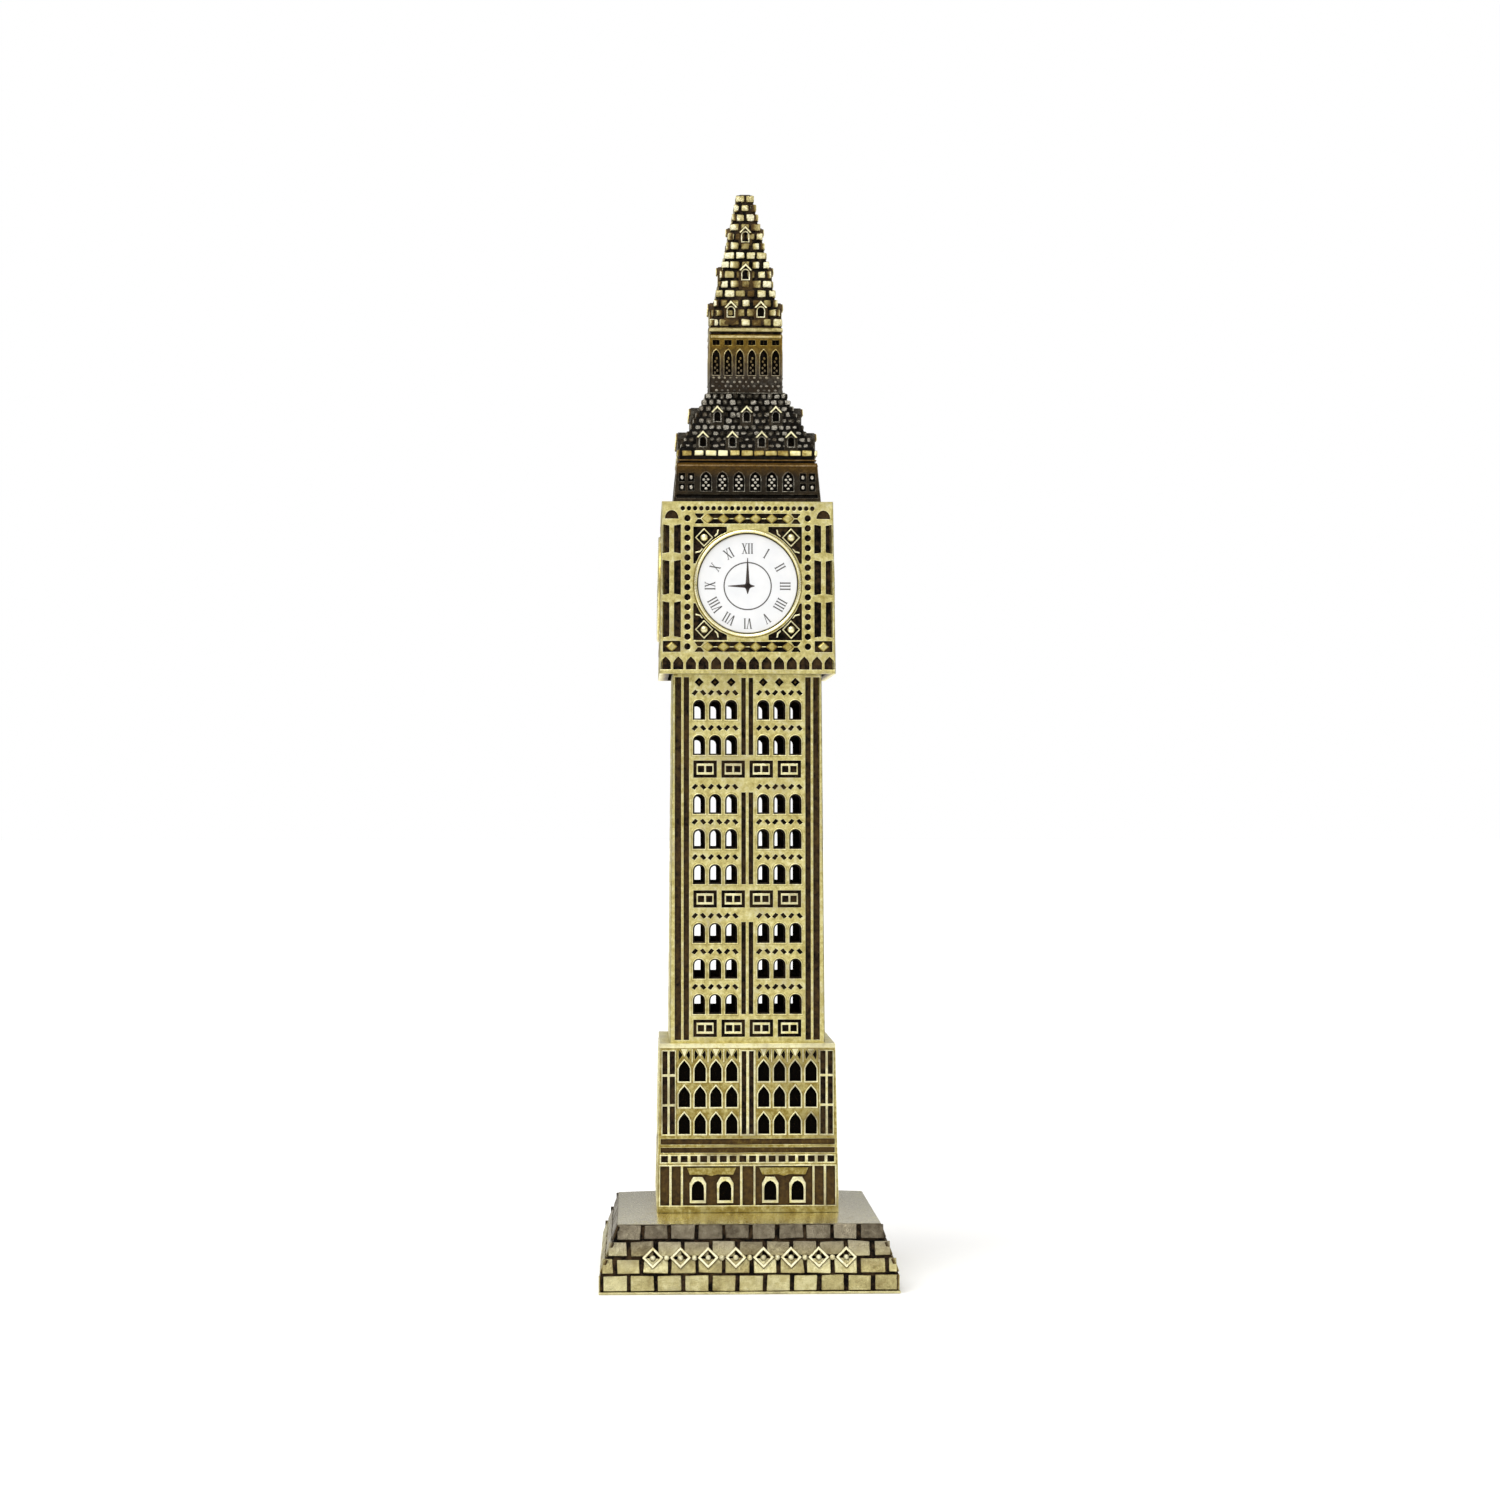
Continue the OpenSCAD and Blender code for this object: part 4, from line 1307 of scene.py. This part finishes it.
def build_belfry():
    low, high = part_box("belfry")
    foot_z, eaves_z = low.z / MM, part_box("lower_roof")[0].z / MM
    foot_w = 2 * high.x / MM
    height = eaves_z - foot_z - BELFRY_NECK
    shell = wall(foot_w, BELFRY_HEAD_W, height, 3.0, belfry_features(), field=0.52)
    mesh = bmesh.new()
    for side in range(4):
        gather(mesh, shell, Face(side, foot_z, height, foot_w, BELFRY_HEAD_W).at)
    close(mesh)
    neck, half = foot_z + height, BELFRY_HEAD_W / 2
    stack(mesh, [(8.6, neck - 0.4, SUNK), (half - 0.5, neck - 0.05, SUNK), (half - 0.5, neck + 0.3, SUNK),
                 (half - 0.15, neck + 0.36, 0.9), (half - 0.12, neck + 0.52, 0.9),
                 (half - 0.45, neck + 0.6, SUNK), (half - 0.4, eaves_z + 0.02, SUNK)])
    bmesh.ops.recalc_face_normals(mesh, faces=mesh.faces)
    finish_piece("belfry_casting", mesh, [BELFRY_BRASS], ["belfry"])


def lantern_features():
    """A rough foot of small lumps, a niche in each of six bays and a short slot over it."""
    made = []
    foot = 3.05
    for x in spread(6, 1.97):
        opening = pointed_arch(x, foot, 1.2, 4.2, 1.15)
        knobs = [rise(oval(x + dx, foot + dy, 0.2, 0.24, 6), -0.15, 0.8) for dx, dy in LANTERN_SPRAY]
        made.append(rise(inset(opening, -0.16), 0.06, RAISED, [sink(opening, -0.5, 0, knobs)]))
        mullion = [rise(rect(x - 0.06, 8.16, x + 0.06, 8.74), -0.14, WASHED)]
        made.append(sink(rect(x - 0.58, 8.02, x + 0.58, 8.88), -0.4, -0.1, mullion))
    dice = random.Random(5)
    for row in range(4):
        for x in spread(11 + row % 2, 0.98):
            if dice.random() < 0.85:
                lump = oval(x + dice.uniform(-0.1, 0.1), 0.5 + 0.7 * row, dice.uniform(0.18, 0.33),
                            dice.uniform(0.16, 0.25), 6)
                made.append(rise(lump, dice.uniform(0.02, 0.14), dice.uniform(0.8, 1.4)))
    made.append(rise(rect(-5.85, 9.2, 5.85, 9.62), 0.05, RAISED))
    return made


def build_lantern():
    foot_z, head_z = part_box("lantern")[0].z / MM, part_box("spire")[0].z / MM
    width, height = 2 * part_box("lantern")[1].x / MM - 0.1, head_z - foot_z
    shell = wall(width, width, height, 2.0, lantern_features(), field=0.62, round_off=0.12)
    mesh = bmesh.new()
    for side in range(4):
        gather(mesh, shell, Face(side, foot_z, height, width, width).at)
    close(mesh)
    finish_piece("lantern_casting", mesh, [LANTERN_BRASS], ["lantern"])


# ---------- tiled roof and spire ----------

TILE_PROUD = 0.3
EAVES_COURSE = 0.95      # height of the eaves' own course
ROOF_TILE = Tile(width=1.14, joint=0.24, proud=TILE_PROUD - 0.03, corner=0.3, unevenness=0.14, wear=0.22,
                 rough=0.12, stretch=0.15, patina=1.05, sunk_in=0.55)
SPIRE_TILE = Tile(width=1.78, joint=0.36, proud=TILE_PROUD - 0.03, corner=0.27, unevenness=0.08, wear=0.2,
                  rough=0.12, stretch=0.2, sunk_in=0.55)
EAVES_TILE = Tile(width=1.97, joint=0.3, proud=TILE_PROUD - 0.02, corner=0.2, unevenness=0.08, wear=0.25,
                  rough=0.12, stretch=0.12, patina=0.86)
DORMER_DEPTH = 3.2
EAVES_SHARE = 0.52       # of a dormer's width, how far its eaves are below its ridge


def dormer_body(width, height, depth, patina):
    """A gabled dormer, its foot on v = 0 and its front on w = 0."""
    half, eaves = width / 2, height - width * EAVES_SHARE
    outline = [(-half, 0), (half, 0), (half, eaves), (0, height), (-half, eaves)]
    arch = round_arch(0, max(0.2, eaves - 1.6), width * 0.46, 1.55, 6)
    shell = Shell()
    front = inset(outline, 0.06)
    shell.terrace(front, 0, patina, [rise(inset(arch, -0.2), 0.08, 0.97, [sink(arch, -0.3, 0)])], -depth)
    shell.strip([(front, 0, patina), (outline, -0.06, patina + 0.1), (outline, -depth, WASHED)])
    shell.fill(outline, [], -depth, SUNK, -1)
    return shell_template(shell)


def gable_edge(width, height):
    """The bright bent moulding along a dormer's gable."""
    half, eaves = width / 2 + 0.02, height - width * EAVES_SHARE
    outline = [(-half - 0.1, eaves - 0.12), (-half + 0.22, eaves - 0.22), (0, height - 0.44),
               (half - 0.22, eaves - 0.22), (half + 0.1, eaves - 0.12), (0, height + 0.06)]
    shell = Shell()
    top = inset(outline, 0.06)
    shell.strip([(outline, -0.3, SUNK), (outline, 0.2, WASHED), (top, 0.34, 1.1)])
    shell.fill(top, [], 0.34, 1.1)
    shell.fill(outline, [], -0.3, SUNK, -1)
    return shell_template(shell)


def add_dormers(bodies, edges, material, foot_z, rows, patina):
    """Rows of (count, pitch, front distance, foot, ridge, width) on all four sides."""
    for count, pitch, front, foot, ridge, width in rows:
        body = dormer_body(width, ridge - foot, min(front, DORMER_DEPTH), patina)
        edge = gable_edge(width - 0.3, ridge - foot - 0.2)
        for template, target, paint in ((body, bodies, material), (edge, edges, EAVES_BRASS)):
            row = row_of(template, paint, count, pitch)
            for side in range(4):
                gather_mesh(target, row, upright_face(side, foot_z + foot, front - 0.12).matrix())
            bpy.data.meshes.remove(row)
            drop_template(template)


def painted_dormer_shade(u, z, dormers, reach):
    """How much darker tiles are at u, z of a face reach wide: most by a dormer, as a painted shadow, and a
    little darker in mid face.
    """
    for count, gap, _, foot, ridge, width in dormers:
        for x in spread(count, gap):
            if abs(u - x) < width / 2 + 0.6 and foot - 0.5 < z < ridge + 0.7:
                return 0.45
    return 0.2 * max(0.0, 1 - 1.7 * abs(u) / reach)


def tile_steps(mesh, material, tile, bed_joint, foot_z, height, foot_half, head_half, courses, seed,
               first=0, dormers=(), dormer_foot=0):
    """Upright courses of tiles that step in up all four sides of a pyramid."""
    pitch = height / courses
    for course in range(first, courses):
        half = foot_half + (head_half - foot_half) * (course + 0.35) / courses
        for side in range(4):
            face = upright_face(side, foot_z + course * pitch, half - TILE_PROUD)
            # Tiles beside a dormer are darkened: painted shadow.
            lay_course(mesh, material, tile, face, bed_joint / 2, pitch - bed_joint, half - 0.03,
                       seed + 13 * course + side, shift=0.5 * (course % 2),
                       painted_shade=lambda u: painted_dormer_shade(u, (course + 0.5) * pitch + dormer_foot, dormers, half))


def build_lower_roof():
    eaves_z, lantern_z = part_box("lower_roof")[0].z / MM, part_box("lantern")[0].z / MM
    half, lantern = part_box("lower_roof")[1].x / MM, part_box("lantern")[1].x / MM
    height, head = lantern_z - eaves_z, lantern + 0.45
    inner = half - TILE_PROUD - 0.1
    core, eaves, edges = bmesh.new(), bmesh.new(), bmesh.new()
    stack(core, [(half - 2, eaves_z, SUNK), (half - 0.4, eaves_z, SUNK), (inner, eaves_z + 0.1, SUNK),
                 (inner, eaves_z + EAVES_COURSE, SUNK), (head - TILE_PROUD, lantern_z - 0.1, SUNK),
                 (head - 0.1, lantern_z - 0.05, 0.9), (head - 0.15, lantern_z + 0.12, 0.9),
                 (lantern - 0.3, lantern_z + 0.16, SUNK)])
    tile_steps(core, DARK_BRASS, ROOF_TILE, 0.26, eaves_z, height, half, head, 10, seed=101, first=1)
    for side in range(4):
        lay_course(eaves, EAVES_BRASS, EAVES_TILE, upright_face(side, eaves_z, half - TILE_PROUD), 0.06,
                   EAVES_COURSE - 0.08, half - 0.02, 71 + side)
    dormers = [(4, 4.81, half - 0.1, 0.5, 4.35, 2.2), (3, 4.81, half - 2.24, 4.4, 8.75, 2.2)]
    add_dormers(core, edges, DARK_BRASS, eaves_z, dormers, 0.7)
    for mesh in (core, eaves, edges):
        bmesh.ops.recalc_face_normals(mesh, faces=mesh.faces)
    finish_piece("roof_tiles", core, [DARK_BRASS], ["lower_roof"])
    finish_piece("eaves_course", eaves, [EAVES_BRASS])
    finish_piece("roof_gable_edges", edges, [EAVES_BRASS])


def build_spire():
    foot_z, tip_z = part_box("spire")[0].z / MM, cad_box[1].z / MM
    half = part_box("lantern")[1].x / MM
    ledge, slope_foot, tip = 1.2, half + 0.05, 1.3
    core, edges = bmesh.new(), bmesh.new()
    stack(core, [(half - 1.5, foot_z, SUNK), (half - 0.35, foot_z, SUNK), (half - 0.35, foot_z + 0.42, SUNK),
                 (half - 0.05, foot_z + 0.5, 0.62), (half, foot_z + 0.6, 0.75), (half, foot_z + 0.95, 0.75),
                 (half - 0.1, foot_z + 1.08, 0.6), (slope_foot - TILE_PROUD, ledge + foot_z, SUNK),
                 (tip - TILE_PROUD + 0.05, tip_z - 0.3, SUNK),
                 (tip - TILE_PROUD - 0.25, tip_z - 0.12, WASHED)])
    dormers = [(2, 4.95, half - 0.02, 1.6, 5.8, 2.3), (1, 0, half - 1.5, 7.2, 12.25, 2.3),
               (1, 0, half - 3.1, 14.6, 18.8, 2.2)]
    tile_steps(core, SPIRE_BRASS, SPIRE_TILE, 0.5, foot_z + ledge, tip_z - foot_z - ledge - 0.1, slope_foot,
               tip, 14, seed=301, dormers=dormers, dormer_foot=ledge)
    add_dormers(core, edges, SPIRE_BRASS, foot_z, dormers, 0.22)
    for mesh in (core, edges):
        bmesh.ops.recalc_face_normals(mesh, faces=mesh.faces)
    finish_piece("spire_tiles", core, [SPIRE_BRASS], ["spire"])
    finish_piece("spire_gable_edges", edges, [EAVES_BRASS])


# ---------- pad and inner pieces ----------

def build_pad():
    """A felt square with cut, slightly rounded corners."""
    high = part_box("base_pad")[1]
    half, thick, radius = high.x / MM, high.z / MM, 1.6
    outline = []
    for quarter, (cx, cy) in enumerate(((1, -1), (1, 1), (-1, 1), (-1, -1))):
        for step in range(5):
            turn = math.radians(90 * (quarter - 1) + 22.5 * step)
            outline.append((cx * (half - radius) + radius * math.cos(turn),
                            cy * (half - radius) + radius * math.sin(turn)))
    shell = Shell()
    shell.strip([(inset(outline, 0.08), thick, 1), (outline, thick - 0.1, 1), (outline, 0.14, 1),
                 (inset(outline, 0.05), 0.05, 1), (inset(outline, 0.16), 0.01, 1)])
    shell.fill(inset(outline, 0.08), [], thick, 1)
    shell.fill(inset(outline, 0.16), [], 0.01, 1, -1)
    mesh = bmesh.new()
    gather(mesh, shell, lambda u, v, w: Vector((u, v, w)))
    close(mesh)
    finish_piece("felt_pad", mesh, [FELT], ["base_pad"])


def paint_inner_nodes():
    """A finish for the nodes that keep their own shape."""
    for node, material in (("tower_foot", INNER_BRASS), ("clock_floor", INNER_BRASS),
                           ("clock_roof", INNER_BRASS), ("screw_left", STEEL), ("screw_right", STEEL)):
        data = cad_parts[node].data
        data.materials.clear()
        data.materials.append(material)


# ---------- studio ----------

def build_sky():
    """White all round to the eye; as a light it is brightest overhead and dim towards the floor."""
    world = bpy.data.worlds.new("studio")
    bpy.context.scene.world = world
    world.use_nodes = True
    nodes, links = world.node_tree.nodes, world.node_tree.links
    place, split, ramp = (nodes.new(kind) for kind in ("ShaderNodeTexCoord", "ShaderNodeSeparateXYZ",
                                                       "ShaderNodeMapRange"))
    glow, white, pick, path = (nodes.new(kind) for kind in ("ShaderNodeBackground", "ShaderNodeBackground",
                                                            "ShaderNodeMixShader", "ShaderNodeLightPath"))
    for label, value in (("From Min", -0.15), ("From Max", 0.9), ("To Min", 0.13), ("To Max", 1.05)):
        ramp.inputs[label].default_value = value
    links.new(place.outputs["Generated"], split.inputs[0])
    links.new(split.outputs["Z"], ramp.inputs["Value"])
    links.new(ramp.outputs["Result"], glow.inputs["Strength"])
    glow.inputs["Color"].default_value = (1, 0.99, 0.97, 1)
    white.inputs["Color"].default_value = (1, 1, 1, 1)
    links.new(path.outputs["Is Camera Ray"], pick.inputs["Fac"])
    links.new(glow.outputs[0], pick.inputs[1])
    links.new(white.outputs[0], pick.inputs[2])
    links.new(pick.outputs[0], nodes["World Output"].inputs["Surface"])


def build_studio():
    floor = bmesh.new()
    reach = 8000 * MM
    floor.faces.new([floor.verts.new((x, y, 0)) for x, y in rect(-reach, -reach, reach, reach)])
    data = bpy.data.meshes.new("floor")
    floor.to_mesh(data)
    floor.free()
    data.materials.append(floor_white())
    plane = bpy.data.objects.new("floor", data)
    bpy.context.collection.objects.link(plane)
    build_sky()
    lamp = bpy.data.lights.new("high_soft", "SUN")
    lamp.energy, lamp.angle = 2.1, math.radians(50)
    light = bpy.data.objects.new("high_soft", lamp)
    bpy.context.collection.objects.link(light)
    light.rotation_euler = Vector((-0.45, -0.8, 1.15)).to_track_quat("Z", "Y").to_euler()
    bpy.context.scene.view_settings.view_transform = "Standard"


make_camera()
build_studio()
build_plinth()
build_plinth_frieze()
build_walls()
build_shoulder_plate()
build_clock_studs()
build_bezels()
build_dials()
build_belfry()
build_lower_roof()
build_lantern()
build_spire()
build_pad()
paint_inner_nodes()
